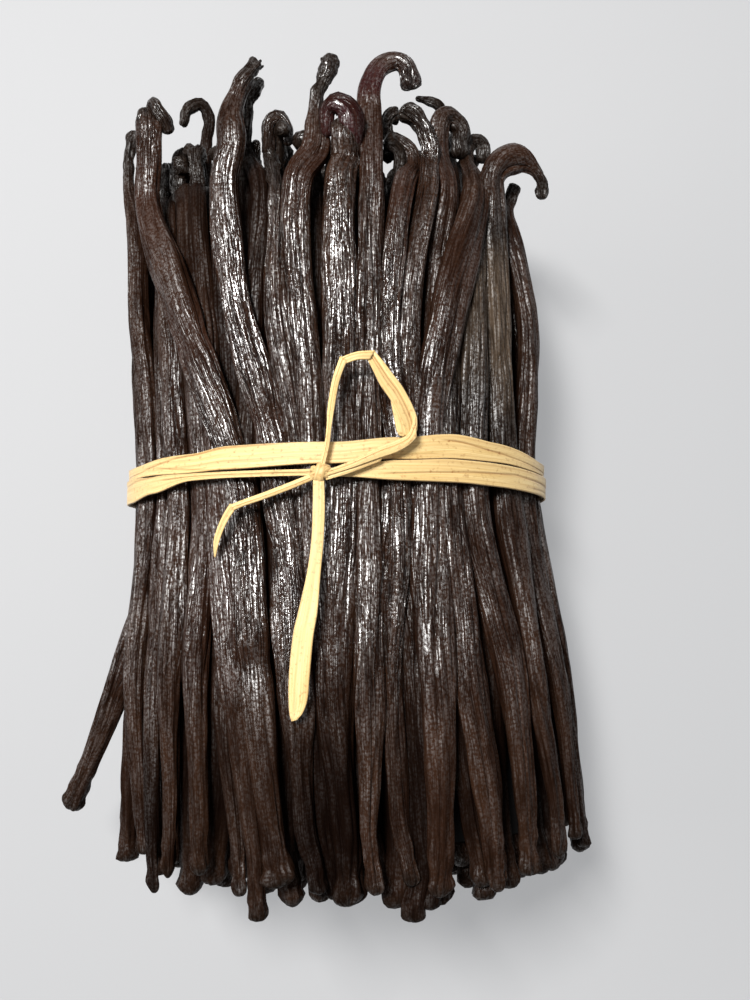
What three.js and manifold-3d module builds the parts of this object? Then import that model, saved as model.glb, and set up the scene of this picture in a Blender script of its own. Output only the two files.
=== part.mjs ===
// Bundle of cured vanilla pods held by a raffia tie, lying on its underside.
// Millimetres. X runs across the bundle, Y from the blunt ends to the curled stem tips, Z up from the floor.
import * as THREE from 'three';
import { mergeVertices } from 'three/addons/utils/BufferGeometryUtils.js';
import Module from 'manifold-3d';

const wasm = await Module();
wasm.setup();

// ---- Outline of the bundle -------------------------------------------------------------------------------
const MID_HEIGHT = 36;             // height of the bundle's axis over the floor
const WAIST_HALF_WIDTH = 49.2;     // half the width under the tie
const WAIST_HALF_DEPTH = 34.5;     // axis to the top under the tie
const FLARE_WIDTH = 0.075;         // half width gained per millimetre towards the blunt ends
const FLARE_DEPTH = 0.047;         // half depth gained per millimetre towards the blunt ends
const CROWN_SPREAD = 0.015;        // half width gained per millimetre towards the stem tips
const CROWN_RISE = 0.02;           // half depth gained per millimetre towards the stem tips
const BUTT_LEAN = 0.058;           // shift of the axis to +X per millimetre towards the blunt ends
const CROWN_LEAN = 0.025;          // shift of the axis to -X per millimetre towards the stem tips
const CINCH = 0.9;                 // how far the tie presses the pods in
const CINCH_REACH = 11;            // length over which that dent fades
const UNDERSIDE_DEPTH = 37.0;      // axis to the underside, a little over MID_HEIGHT so that it is flattened
const UNDERSIDE_WAIST_RISE = 3.1;  // the underside clears the floor by about this under the tie
const UNDERSIDE_WAIST_REACH = 15;  // length over which that rise fades
const UNDERSIDE_SQUARENESS = 2.7;  // 2 is an ellipse, more is boxier

// ---- Pods ----------------------------------------------------------------------------------------------
// Stations along a pod: blunt end, lower body, waist, upper body, crown.
const CROWN_STATION = 62;
const STATION_Y = [-85, -48, -3, 35, CROWN_STATION];
const BUTT_LENGTH = 15;            // length over which the body narrows to the blunt end ...
const BUTT_CORNER = 5;             // ... which has one more ring at this distance from it
const BUTT_SCALE = 0.5;            // width of the very end against the body
const TIP_SCALE = 0.6;             // width of the very tip against the stem
const TIP_ROUNDING = 1.2;
const TIP_SHARE = 6;               // length of body that is divided as finely as the stem
const NECK = [3.4, 9, 24];         // stem diameter, its length, length over which the body narrows into it

// turn: degrees round the bundle at each station, 0 at +X and 90 on top.
// lift: millimetres out of the bundle's outline at each station, negative where the pod sinks in.
// stem: the points that the stem end goes through.
const SHOWN_PODS = [
  { turn: [150, 157, 156, 161, 165], lift: [-0.3, 1.2, 0.5, 1.4, 1.6], width: 7.4, thick: 5, butt: -82,
    neck: [2.6, 8, 20], stem: [[-50.5, 72, 44], [-50, 79, 46], [-48.5, 84, 48]] },
  { turn: [137.5, 138.5, 139, 145, 150], lift: [0, 0, 0, -1.5, -3], width: 7.4, thick: 5.2, butt: -85,
    stem: [[-41, 71, 42], [-41.5, 78.5, 42]] },
  { turn: [125, 128.5, 129.5, 134.5, 138], lift: [0, 0, -1.2, -2.5, -3.5], width: 7.6, thick: 5, butt: -83,
    neck: [4.2, 3, 14], stem: [[-36.7, 70.7, 47], [-37, 77, 48], [-36.6, 79.3, 48]] },
  { turn: [109.4, 116, 124, 130, 134], lift: [0.7, 0, -0.4, -2.5, -4], width: 8.5, thick: 5, butt: -90,
    neck: [2.8, 14, 14],
    stem: [[-32.9, 71.9, 45], [-31.8, 82.6, 46], [-31.3, 87.7, 47], [-33, 90, 48], [-35.3, 88.6, 49],
      [-36.8, 84, 50]] },
  { turn: [106.5, 111, 116.5, 131, 145], lift: [0, 0, 0, 3, 3.5], width: 10, thick: 5.4, butt: -84,
    neck: [6.4, 1, 10], stem: [[-42.6, 70.5, 57.5], [-42.8, 76.2, 58], [-42.9, 80, 58], [-43.2, 83.8, 57]] },
  { turn: [100, 101, 104.5, 114.5, 116.5], lift: [0, 0, 0, 0.8, 2], width: 9, thick: 5.2, butt: -85,
    neck: [3.6, 5, 14],
    stem: [[-21.8, 70.4, 68], [-22.2, 76.3, 68], [-20.3, 82.8, 68], [-18.2, 86.5, 68], [-16.8, 89.2, 67]] },
  { turn: [117.7, 121, 117, 113, 110], lift: [-2.5, -2.5, -3.5, -4, -4], width: 7.5, thick: 5, butt: -87,
    neck: [2.8, 12, 16],
    stem: [[-20, 72.7, 60], [-19.9, 79, 61.5], [-19.4, 82.6, 62], [-18.5, 85.2, 62], [-17.3, 87.1, 62]] },
  { turn: [96, 98, 98.5, 103.5, 104.5], lift: [-4, -3, -1.2, -1, -1.5], width: 7, thick: 5, butt: -87,
    neck: [3.2, 12, 40], stem: [[-14.3, 70.5, 63.5], [-14.4, 74, 65]] },
  { turn: [93, 95, 95, 97, 97], lift: [-5, -2.5, -0.3, 0, 0.6], width: 8.4, thick: 5.2, butt: -83,
    neck: [3.5, 12, 9],
    stem: [[-3.9, 68.6, 68], [-4.1, 75.2, 68], [-3.4, 80.5, 68], [-2, 85.3, 68], [-0.7, 88.8, 68],
      [-0.9, 89.8, 68]] },
  { turn: [91, 91.7, 88, 86.8, 86], lift: [-3.5, -1.2, 0, 0.6, 1.5], width: 9.5, thick: 5.4, butt: -88,
    neck: [6, 1, 8], stem: [[2.9, 65.8, 69], [2.9, 70, 70.5], [2.5, 74.2, 71]] },
  { turn: [87, 84.3, 80.8, 79.4, 78], lift: [-0.2, 0, -0.3, 0, 1], width: 7.5, thick: 5, butt: -85,
    neck: [4, 3, 20],
    stem: [[8, 77.5, 68], [8.2, 82.8, 68], [10.4, 87.7, 68], [13.7, 89.2, 68], [16.3, 87.2, 68],
      [16.9, 82.3, 68]] },
  { turn: [79, 78, 72.9, 73.6, 68.5], lift: [-1.5, -1.5, 0, 0, -0.5], width: 7.5, thick: 5, butt: -84,
    neck: [3, 14, 14],
    stem: [[17.2, 68, 61], [16.9, 71.7, 61], [14.9, 73.6, 61], [12.2, 75.3, 61], [11.1, 77.9, 61],
      [12.5, 80.3, 61], [14.3, 81.6, 60]] },
  { turn: [74, 71, 68, 67.5, 62], lift: [-3, -3, -2.6, -0.6, 0], width: 7, thick: 5, butt: -89,
    neck: [4.1, 6, 20], stem: [[20.8, 67.7, 63], [21.1, 71.4, 63.5], [18.9, 76.8, 64.3], [14.8, 80.1, 65]] },
  { turn: [60, 60, 58, 58, 55], lift: [-3.5, -3.5, -3, -2.5, -1], width: 8.5, thick: 5, butt: -86,
    neck: [4.2, 6, 22],
    stem: [[23, 70.8, 60], [23.1, 76.5, 60], [24.2, 80, 60], [26.4, 81, 58.5], [28.3, 79.3, 57.3],
      [28.7, 73, 55]] },
  { turn: [71, 67.3, 64, 57, 45], lift: [0, 0.5, 0, 1.6, 0.5], width: 10.6, thick: 5.4, butt: -86,
    neck: [3, 12, 16],
    stem: [[31.5, 67.5, 58], [30.4, 72.5, 54.5], [30.8, 77.1, 53.5], [32.5, 78.6, 53], [34.2, 77.7, 52],
      [34.1, 74, 51]] },
  { turn: [56.5, 57.5, 57, 54, 50], lift: [0, 0, -0.3, -2.5, -4], width: 9, thick: 5, butt: -86,
    neck: [2.7, 8, 24],
    stem: [[26, 75, 52], [25.2, 83.1, 52], [24.6, 86.3, 53], [22.7, 87.6, 54], [20.6, 88.3, 54],
      [18.5, 88.6, 54]] },
  { turn: [46, 44.5, 48.7, 46, 40.5], lift: [0, 0, 0, -0.3, -0.6], width: 9, thick: 5.2, butt: -84,
    stem: [[36, 69, 56], [37, 73.5, 53], [40, 75, 51]] },
  { turn: [31, 33, 31.5, 34.5, 37], lift: [0, 0, 0, 0, 0.4], width: 10, thick: 5.2, butt: -82,
    neck: [2.6, 6, 7],
    stem: [[35.8, 67.5, 57.5], [37.6, 70.5, 57.5], [40.4, 71.9, 57], [43.5, 71.7, 56], [46.2, 69.8, 55],
      [47.7, 67.1, 54], [47.4, 64.2, 53]] },
  { turn: [20, 17, 17, 19.5, 25], lift: [0, 0, 0, 1.8, -1.2], width: 8, thick: 5, butt: -80,
    neck: [3, 4, 12], stem: [[41, 66.5, 48], [42.6, 70, 49]] },
  { turn: [143, 147.5, 147.5, 151, 152], lift: [0.3, -0.4, -1, -2.8, -5], width: 6.6, thick: 4.6, butt: -88.5,
    stem: [[-41, 68, 40], [-40, 74, 41]] },
  { turn: [74, 74, 77, 77, 76], lift: [-3.2, -3, -3.6, -4, -5], width: 8, thick: 5.6, butt: -91,
    stem: [[8, 68, 58], [6, 73, 59]] },
  { turn: [181, 176, 172, 168, 166], lift: [16.3, 5.2, -5.5, -7, -8], width: 6, thick: 9, butt: -77,
    stem: [[-41, 67, 38], [-42, 72, 36]] },
];

// Short ends that fold over or swell out of the stems: rows of [x, y, z, diameter].
const SHOWN_ENDS = [
  [[-42.4, 83.6, 57.6, 2.8], [-40.9, 83.1, 59.2, 3.4], [-39.1, 80.9, 58.8, 3.4], [-37.9, 78.3, 56.5, 2.4]],
  [[-19.4, 82.6, 62, 2.6], [-18, 86, 62, 3.4], [-16.6, 88.4, 62, 2.2]],
  [[-14.4, 70.9, 63.5, 2.9], [-14.2, 75.2, 65.2, 3.1], [-12.2, 77.3, 65.5, 3.3], [-10.6, 75.2, 65, 2.9],
    [-10, 71.8, 64, 2.2]],
  [[-2.4, 84, 68, 3.3], [-0.9, 87, 68, 4], [-0.9, 90.2, 68, 2.8]],
  [[4.2, 68.5, 68.4, 4.4], [4.4, 72.4, 71.8, 5.2], [2.8, 75.7, 73, 4.8], [-0.6, 75.6, 72, 3.8],
    [-0.9, 71.4, 69.9, 2.6]],
];

// The pods round the sides and the underside, and the packed rings inside, follow a rule.
const HIDDEN_START = 173;          // degrees, from the left side ...
const HIDDEN_END = 367;            // ... under the bundle to the right side
const HIDDEN_COUNT = 19;
const FIRST_HIDDEN = 100;          // numbers that seed the draws of these pods ...
const FIRST_INNER = 200;           // ... and of the inner ones
const RING_ROOM = 40;              // numbers kept for each inner ring
const BODY_WIDTH = 8.8;
const BODY_THICK = 5.2;
const CROWN_Y = 61;                // where an average pod's body ends and its stem begins
const BUTT_Y = -84.5;              // where an average blunt end lies ...
const INNER_BUTT_Y = -87;          // ... and that of an inner pod
const END_SCATTER = 6;             // range of all three
const STEM_REACH = 10;             // length of stem before its curl
const CURL_RADIUS = 3.4;
const CURL_STEPS = 3;
const RING_PITCH = 6.4;            // depth from one packed ring to the next
const RING_SPACING = 11.5;         // distance between pods along a ring
const INNER_RINGS = 4;
const STUB_DEPTH = 5;              // how far an inner end is sunk into the core
const DRIFT = 5;                   // range of degrees that such a pod wanders round the bundle
const CROWN_TUCK = 6;              // how far the pods on the right side draw in at the crown ...
const EARLY_TUCK = 0.15;           // ... the share of it that is done at the station before ...
const TUCK_SIDE = [0.3, 0.95];     // ... and the cosines of the angle over which it sets in
const WIDTH_SCATTER = 1.4;
const CURL_SWEEP = [40, 160];      // range of the degrees that a stem curls through
const TIPS_EVERY = 3;              // every third inner pod shows its stem between the others

// ---- Facets ----------------------------------------------------------------------------------------------
const SHOWN_FACETS = { sides: 6, body: 3, tip: 5 };
const END_SIDES = 5;
const HIDDEN_FACETS = { sides: 5, body: 2, tip: 2 };
const BUTT_STUB_FACETS = { sides: 5, rings: 2 };
const TIP_STUB_FACETS = { sides: 4, rings: 2 };
const CORE_SIDES = 14;
const KNOT_FACETS = { around: 10, along: 6 };
const STRIP_SIDES = 4;
const TURN_STEPS = 44;             // steps of a turn of the tie round the bundle
const STRIP_RINGS = 2;             // rings from one point of a strip to the next

// ---- Core ------------------------------------------------------------------------------------------------
const CORE_INSET = 2.4;
const CORE_BUTT_Y = -78;
const CORE_CROWN_Y = 58;
const FLOOR_SIZE = 400;            // block that presses the underside flat
const WELD = 1e-5;                 // corners nearer than this are one

// ---- Raffia tie ------------------------------------------------------------------------------------------
const STRIP_THICK = 0.8;
const STRIP_GAP = 0.35;            // air between the strip and the pods
const TURN_OVERLAP = 0.3;          // how much further out the lower turn lies, over the upper one
// Each turn: degrees round the bundle, lower edge and upper edge of the strip along Y.
const UPPER_TURN = [
  [18, 0.7, 3.5], [45, 1.4, 5.8], [58, 1.4, 6.7], [74, 0.7, 5.4], [90, -0.4, 4.2], [116, -1.2, 4.0],
  [127, -1.3, 2.9], [158, -0.8, 1.9], [200, 0.2, 4.2], [270, 0.4, 5.0], [330, 0.1, 4.3],
];
const LOWER_TURN = [
  [18, -4.3, 0.5], [46, -3.9, 1.3], [58, -3.7, 1.3], [74, -3.7, 0.6], [88, -3.0, -1.3], [97, -2.9, -1.6],
  [127, -3.0, -1.4], [142, -5.1, -1.2], [157, -6.2, -0.6], [200, -5.4, 0.4], [270, -4.6, 0.6],
  [330, -4.4, 0.2],
];
const KNOT = { x: -2, y: -2.5, lift: 1.7, across: 4, along: 3.8, high: 2.8 };
// Strips: points [x, y, height over the outline, width].
const LOOP = [
  [-1.9, -1.4, 1.9, 1.4], [-0.7, 6.2, 2.4, 1.3], [0.6, 13.3, 3.2, 1.8], [2.4, 20.4, 4.2, 1.8],
  [4.2, 21.8, 4.4, 1.6], [7.6, 21.6, 4.4, 1.9], [11.7, 16.7, 4.0, 3.9], [14.8, 12.5, 3.4, 4.1],
  [16.4, 8.6, 3.0, 3.2], [15.6, 4.9, 2.8, 2.4], [13.2, 3.0, 2.6, 2.1], [7.1, 0.6, 2.5, 2.1],
  [2.0, -1.1, 2.2, 1.8], [-1.4, -2.3, 1.9, 1.4],
];
const SIDE_TAIL = [
  [-2.4, -2.9, 1.7, 1.3], [-8.2, -4.9, 1.9, 1.3], [-14.3, -7.1, 1.9, 1.3], [-19.4, -8.0, 2.0, 1.2],
  [-21.6, -10.2, 1.9, 1.3], [-23.0, -14.5, 1.7, 1.2], [-23.4, -19.0, 1.5, 0.9],
];
const FRONT_TAIL = [
  [-2.3, -3.2, 1.9, 2.4], [-2.2, -8.9, 1.8, 2.6], [-2.4, -16.0, 1.8, 2.6], [-3.1, -23.0, 1.8, 2.9],
  [-4.2, -30.5, 1.9, 4.0], [-5.0, -34.8, 1.9, 4.4], [-5.9, -43.2, 1.8, 4.3], [-6.1, -48.0, 1.7, 3.3],
  [-6.9, -51.2, 1.6, 1.4],
];

// ---- Placing the part on its origin ----------------------------------------------------------------------
const ORIGIN_X = 2.3;
const ORIGIN_Y = -0.05;

// A repeatable draw between 0 and 1 for pod number `index`; `salt` picks one of its properties.
function draw(index, salt) {
  const value = Math.sin(index * 12.9898 + salt * 78.233) * 43758.5453;
  return value - Math.floor(value);
}

function smoothstep(from, to, value) {
  return THREE.MathUtils.smoothstep(value, from, to);
}

function bell(y, reach) {
  return Math.exp(-((y / reach) ** 2));
}

// Point on the bundle's outline at station y, `lift` millimetres out of it.
function outlinePoint(turn, y, lift, cinch = CINCH) {
  const towardButt = Math.max(-y, 0);
  const towardCrown = Math.max(y, 0);
  const centreX = BUTT_LEAN * towardButt - CROWN_LEAN * towardCrown;
  const pressed = lift - cinch * bell(y, CINCH_REACH);
  const halfWidth = WAIST_HALF_WIDTH + FLARE_WIDTH * towardButt + CROWN_SPREAD * towardCrown + pressed;
  const angle = THREE.MathUtils.degToRad(turn);
  const across = Math.cos(angle);
  const up = Math.sin(angle);
  if (up >= 0) {
    const halfDepth = WAIST_HALF_DEPTH + FLARE_DEPTH * towardButt + CROWN_RISE * towardCrown + pressed;
    return new THREE.Vector3(centreX + halfWidth * across, y, MID_HEIGHT + halfDepth * up);
  }
  const power = 2 / UNDERSIDE_SQUARENESS;
  const depth = UNDERSIDE_DEPTH - UNDERSIDE_WAIST_RISE * bell(y, UNDERSIDE_WAIST_REACH) + pressed;
  const reach = halfWidth * Math.sign(across) * Math.abs(across) ** power;
  return new THREE.Vector3(centreX + reach, y, MID_HEIGHT - depth * Math.abs(up) ** power);
}

// `count` angles from one to another that lie evenly spaced along the outline of the waist.
function evenTurns(from, to, count) {
  const walk = [0];
  for (let turn = from + 1; turn <= to; turn += 1) {
    const step = outlinePoint(turn, 0, 0).distanceTo(outlinePoint(turn - 1, 0, 0));
    walk.push(walk[walk.length - 1] + step);
  }
  const gap = walk[walk.length - 1] / (count - 1);
  return Array.from({ length: count }, (_, k) => from + walk.findIndex((length) => length >= gap * k));
}

// Direction out of the bundle at a point.
function outward(point) {
  return new THREE.Vector3(
    point.x / WAIST_HALF_WIDTH ** 2, 0, (point.z - MID_HEIGHT) / WAIST_HALF_DEPTH ** 2,
  ).normalize();
}

// The path of a pod, from its blunt end through its stations to the end of its stem.
function podPath(pod) {
  const points = pod.turn.map((turn, k) => {
    const y = k === 0 ? pod.butt : STATION_Y[k];
    return outlinePoint(turn, y, pod.lift[k] - pod.thick / 2);
  });
  return new THREE.CatmullRomCurve3([...points, ...pod.stem.map((p) => new THREE.Vector3(...p))], false);
}

// Width of a pod at a distance from its blunt end and from its tip, against the body's full width.
function girth(pod, fromButt, fromTip) {
  const [diameter, length, shoulder] = pod.neck ?? NECK;
  const body = THREE.MathUtils.lerp(diameter / pod.width, 1, smoothstep(length, length + shoulder, fromTip));
  const butt = THREE.MathUtils.lerp(BUTT_SCALE, 1, smoothstep(0, BUTT_LENGTH, fromButt));
  const tip = THREE.MathUtils.lerp(TIP_SCALE, 1, smoothstep(0, TIP_ROUNDING, fromTip));
  return body * butt * tip;
}

// A unit cylinder bent along a path; `section` gives each ring's half width and half thickness,
// and `firstCorner` is the angle of the section's first corner.
function bend(path, stops, sides, section, firstOut, firstCorner = 0) {
  const rings = [];
  let out = firstOut;
  for (const stop of stops) {
    const at = path.getPointAt(stop);
    const along = path.getTangentAt(stop);
    out = (section.follows(stop) ? outward(at) : out).clone();
    out.addScaledVector(along, -out.dot(along)).normalize();
    rings.push({ at, out, across: new THREE.Vector3().crossVectors(along, out), ...section.size(stop) });
  }
  const geometry = new THREE.CylinderGeometry(1, 1, 1, sides, stops.length - 1, false, firstCorner);
  const position = geometry.attributes.position;
  for (let k = 0; k < position.count; k += 1) {
    const ring = rings[Math.round((0.5 + position.getY(k)) * (stops.length - 1))];
    const moved = ring.at.clone()
      .addScaledVector(ring.across, position.getX(k) * ring.halfWidth)
      .addScaledVector(ring.out, position.getZ(k) * ring.halfThick);
    position.setXYZ(k, moved.x, moved.y, moved.z);
  }
  return geometry;
}

// Ring positions along a pod as shares of its length: close together at both ends, wide apart in between.
function podStops(length, tipLength, facets) {
  const stops = [0, BUTT_CORNER / length];
  const bodyStart = BUTT_LENGTH / length;
  const tipStart = 1 - tipLength / length;
  for (let k = 0; k <= facets.body; k += 1) {
    stops.push(THREE.MathUtils.lerp(bodyStart, tipStart, k / facets.body));
  }
  for (let k = 1; k <= facets.tip; k += 1) {
    stops.push(THREE.MathUtils.lerp(tipStart, 1, k / facets.tip));
  }
  return stops;
}

// Half width and half thickness of a pod at a share of its length; the stem is round.
function podSection(pod, length, stop) {
  const scale = girth(pod, stop * length, (1 - stop) * length);
  const halfWidth = scale * pod.width / 2;
  const round = Math.min((pod.neck ?? NECK)[0] / 2, halfWidth);
  return { halfWidth, halfThick: Math.max(scale * pod.thick / 2, round) };
}

function podSolid(pod, facets) {
  const path = podPath(pod);
  const length = path.getLength();
  const tipLength = length - (CROWN_STATION - pod.butt) + TIP_SHARE;
  const section = {
    follows: (stop) => stop * length < length - tipLength,
    size: (stop) => podSection(pod, length, stop),
  };
  const stops = podStops(length, tipLength, facets);
  return solid(bend(path, stops, facets.sides, section, outward(path.getPoint(0))));
}

// How far a side draws in at the crown.
function crownTuck(turn) {
  return CROWN_TUCK * smoothstep(...TUCK_SIDE, Math.cos(THREE.MathUtils.degToRad(turn)));
}

// A pod that follows the rule: `turn` degrees round the bundle, `lift` out of the outline at both ends.
function rulePod(index, turn, lift) {
  const drift = (draw(index, 1) - 0.5) * DRIFT;
  const crownY = CROWN_Y + (draw(index, 2) - 0.5) * END_SCATTER;
  const butt = (lift < 0 ? INNER_BUTT_Y : BUTT_Y) + (draw(index, 3) - 0.5) * END_SCATTER;
  const curlTurn = draw(index, 4) * Math.PI * 2;
  const sweep = THREE.MathUtils.degToRad(THREE.MathUtils.lerp(...CURL_SWEEP, draw(index, 5)));
  const tuck = crownTuck(turn);
  const root = outlinePoint(turn + drift, crownY, lift - tuck - BODY_THICK / 2);
  root.y += STEM_REACH;
  const side = new THREE.Vector3(Math.cos(curlTurn), 0, Math.sin(curlTurn));
  const stem = [root.toArray()];
  for (let k = 1; k <= CURL_STEPS; k += 1) {
    const bent = sweep * k / CURL_STEPS;
    const point = root.clone().addScaledVector(side, CURL_RADIUS * (1 - Math.cos(bent)));
    point.y += CURL_RADIUS * Math.sin(bent);
    stem.push(point.toArray());
  }
  return {
    turn: [turn - drift, turn - drift / 2, turn, turn + drift / 2, turn + drift],
    lift: [lift, lift, lift, lift - tuck * EARLY_TUCK, lift - tuck],
    width: BODY_WIDTH - WIDTH_SCATTER * draw(index, 6),
    thick: BODY_THICK,
    butt,
    stem,
  };
}

// A short length of an inner pod, at its blunt end or its tip, sunk into the core.
function stubSolid(pod, atButt, facets) {
  const path = podPath(pod);
  const length = path.getLength();
  const shown = STUB_DEPTH + (atButt ? CORE_BUTT_Y - pod.butt : length - CORE_CROWN_Y + pod.butt);
  const stops = [];
  for (let k = 0; k <= facets.rings; k += 1) {
    const share = (k / facets.rings) * shown / length;
    stops.push(atButt ? share : 1 - shown / length + share);
  }
  const section = {
    follows: (stop) => stop * length < CROWN_Y - BUTT_Y,
    size: (stop) => podSection(pod, length, stop),
  };
  return solid(bend(path, stops, facets.sides, section, outward(path.getPointAt(stops[0]))));
}

// A short end: round, with its own diameter at each of its points.
function endSolid(points) {
  const path = new THREE.CatmullRomCurve3(points.map((p) => new THREE.Vector3(...p)), false);
  const stops = points.map((_, k) => k / (points.length - 1));
  const section = {
    follows: () => false,
    size: (stop) => {
      const radius = points[Math.round(stop * (points.length - 1))][3] / 2;
      return { halfWidth: radius, halfThick: radius };
    },
  };
  return solid(bend(path, stops, END_SIDES, section, outward(path.getPoint(0))));
}

// A closed manifold solid from a three.js geometry.
function solid(geometry) {
  geometry.deleteAttribute('normal');
  geometry.deleteAttribute('uv');
  const merged = mergeVertices(geometry, WELD);
  return new wasm.Manifold(new wasm.Mesh({
    numProp: 3,
    vertProperties: new Float32Array(merged.attributes.position.array),
    triVerts: new Uint32Array(merged.index.array),
  }));
}

function geometryOf(manifold) {
  const mesh = manifold.getMesh();
  const geometry = new THREE.BufferGeometry();
  geometry.setAttribute('position', new THREE.BufferAttribute(new Float32Array(mesh.vertProperties), 3));
  geometry.setIndex(new THREE.BufferAttribute(new Uint32Array(mesh.triVerts), 1));
  geometry.computeVertexNormals();
  return geometry;
}

// Joins solids, fills the hollows that joining seals and drops loose scraps.
function union(solids) {
  return onePiece(solids.reduce((whole, next) => whole.add(next)));
}

function onePiece(manifold) {
  return manifold.decompose().reduce((largest, next) => (next.volume() > largest.volume() ? next : largest));
}

// The body that the pods cover: the outline shrunk, from inside the blunt ends to the crown.
function coreSolid() {
  const levels = [CORE_BUTT_Y, 0, CORE_CROWN_Y];
  const geometry = new THREE.CylinderGeometry(1, 1, 1, CORE_SIDES, levels.length - 1);
  const position = geometry.attributes.position;
  for (let k = 0; k < position.count; k += 1) {
    const y = levels[Math.round((0.5 + position.getY(k)) * (levels.length - 1))];
    const turn = THREE.MathUtils.radToDeg(Math.atan2(position.getZ(k), position.getX(k)));
    const onAxis = Math.hypot(position.getX(k), position.getZ(k)) < 0.5;
    const inset = CORE_INSET + (y > 0 ? crownTuck(turn) : 0);
    const point = onAxis ? new THREE.Vector3(0, y, MID_HEIGHT) : outlinePoint(turn, y, -inset);
    position.setXYZ(k, point.x, point.y, point.z);
  }
  return solid(geometry);
}

// Edges of a turn of the tie at an angle, eased between the named places.
function edgesAt(table, turn) {
  const last = table[table.length - 1];
  const ring = [[last[0] - 360, last[1], last[2]], ...table, [table[0][0] + 360, table[0][1], table[0][2]]];
  const k = ring.findIndex((row, i) => turn >= row[0] && turn <= ring[i + 1][0]);
  const share = smoothstep(ring[k][0], ring[k + 1][0], turn);
  return {
    low: THREE.MathUtils.lerp(ring[k][1], ring[k + 1][1], share),
    high: THREE.MathUtils.lerp(ring[k][2], ring[k + 1][2], share),
  };
}

// One turn of the tie round the bundle, `outset` over the first one and `grow` larger on every side.
function turnSolid(table, outset, grow) {
  const geometry = new THREE.TorusGeometry(1, 0.1, STRIP_SIDES, TURN_STEPS);
  const uv = geometry.attributes.uv;
  const position = geometry.attributes.position;
  for (let k = 0; k < position.count; k += 1) {
    const turn = (uv.getX(k) * 360) % 360;
    const corner = Math.round(uv.getY(k) * STRIP_SIDES) % STRIP_SIDES;
    const { low, high } = edgesAt(table, turn);
    const outer = corner === 0 || corner === 3;
    const y = corner < 2 ? low - grow : high + grow;
    const lift = outset + (outer ? STRIP_THICK + grow : -grow);
    const point = outlinePoint(turn, 0, lift, 0);
    position.setXYZ(k, point.x, y, point.z);
  }
  return solid(geometry);
}

// A free strip of the tie: points over the outline, with its own width at each.
function stripSolid(points) {
  const knots = points.map(([x, y, over]) => new THREE.Vector3(x, y, surfaceHeight(x, y) + over));
  const path = new THREE.CatmullRomCurve3(knots, false);
  const rings = (points.length - 1) * STRIP_RINGS;
  const section = {
    follows: () => true,
    size: (stop) => {
      const place = stop * (points.length - 1);
      const k = Math.min(Math.floor(place), points.length - 2);
      const width = THREE.MathUtils.lerp(points[k][3], points[k + 1][3], place - k);
      return { halfWidth: width / Math.SQRT2, halfThick: STRIP_THICK / Math.SQRT2 };
    },
  };
  const stops = Array.from({ length: rings + 1 }, (_, k) => k / rings);
  return solid(bend(path, stops, STRIP_SIDES, section, new THREE.Vector3(0, 0, 1), Math.PI / STRIP_SIDES));
}

// Height of the outline's top over the floor at a place on the front.
function surfaceHeight(x, y) {
  const towardButt = Math.max(-y, 0);
  const towardCrown = Math.max(y, 0);
  const centreX = BUTT_LEAN * towardButt - CROWN_LEAN * towardCrown;
  const halfWidth = WAIST_HALF_WIDTH + FLARE_WIDTH * towardButt + CROWN_SPREAD * towardCrown;
  const halfDepth = WAIST_HALF_DEPTH + FLARE_DEPTH * towardButt + CROWN_RISE * towardCrown;
  return MID_HEIGHT + halfDepth * Math.sqrt(1 - ((x - centreX) / halfWidth) ** 2);
}

function tieSolid() {
  const knot = new THREE.SphereGeometry(0.5, KNOT_FACETS.around, KNOT_FACETS.along);
  knot.scale(KNOT.across, KNOT.along, KNOT.high);
  knot.translate(KNOT.x, KNOT.y, surfaceHeight(KNOT.x, KNOT.y) + KNOT.lift);
  return union([
    turnSolid(UPPER_TURN, 0, 0),
    turnSolid(LOWER_TURN, TURN_OVERLAP, 0),
    solid(knot),
    stripSolid(LOOP),
    stripSolid(SIDE_TAIL),
    stripSolid(FRONT_TAIL),
  ]);
}

function podSolids() {
  const solids = [...SHOWN_PODS.map((pod) => podSolid(pod, SHOWN_FACETS)), ...SHOWN_ENDS.map(endSolid)];
  evenTurns(HIDDEN_START, HIDDEN_END, HIDDEN_COUNT).forEach((turn, k) => {
    solids.push(podSolid(rulePod(FIRST_HIDDEN + k, turn, 0), HIDDEN_FACETS));
  });
  return solids;
}

function innerPods() {
  const pods = [];
  for (let ring = 1; ring <= INNER_RINGS; ring += 1) {
    const lift = -RING_PITCH * ring;
    const a = WAIST_HALF_WIDTH + lift;
    const b = WAIST_HALF_DEPTH + lift;
    const round = Math.PI * (3 * (a + b) - Math.sqrt((3 * a + b) * (a + 3 * b)));
    const count = Math.round(round / RING_SPACING);
    for (let k = 0; k < count; k += 1) {
      pods.push(rulePod(FIRST_INNER + ring * RING_ROOM + k, (360 * (k + 0.5 * (ring % 2))) / count, lift));
    }
  }
  return pods;
}

function bundleSolid() {
  const inner = innerPods();
  const stubs = [
    ...inner.map((pod) => stubSolid(pod, true, BUTT_STUB_FACETS)),
    ...inner.filter((pod, k) => k % TIPS_EVERY === 0).map((pod) => stubSolid(pod, false, TIP_STUB_FACETS)),
  ];
  const floor = new THREE.BoxGeometry(FLOOR_SIZE, FLOOR_SIZE, FLOOR_SIZE);
  floor.translate(0, 0, -FLOOR_SIZE / 2);
  const joined = union([coreSolid(), ...podSolids(), ...stubs]);
  return onePiece(joined
    .subtract(solid(floor))
    .subtract(turnSolid(UPPER_TURN, 0, STRIP_GAP))
    .subtract(turnSolid(LOWER_TURN, TURN_OVERLAP, STRIP_GAP)));
}

const podMaterial = new THREE.MeshStandardMaterial({ color: '#2b1a14', roughness: 0.35, metalness: 0 });
const raffiaMaterial = new THREE.MeshStandardMaterial({ color: '#e3c27a', roughness: 0.7, metalness: 0 });

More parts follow.
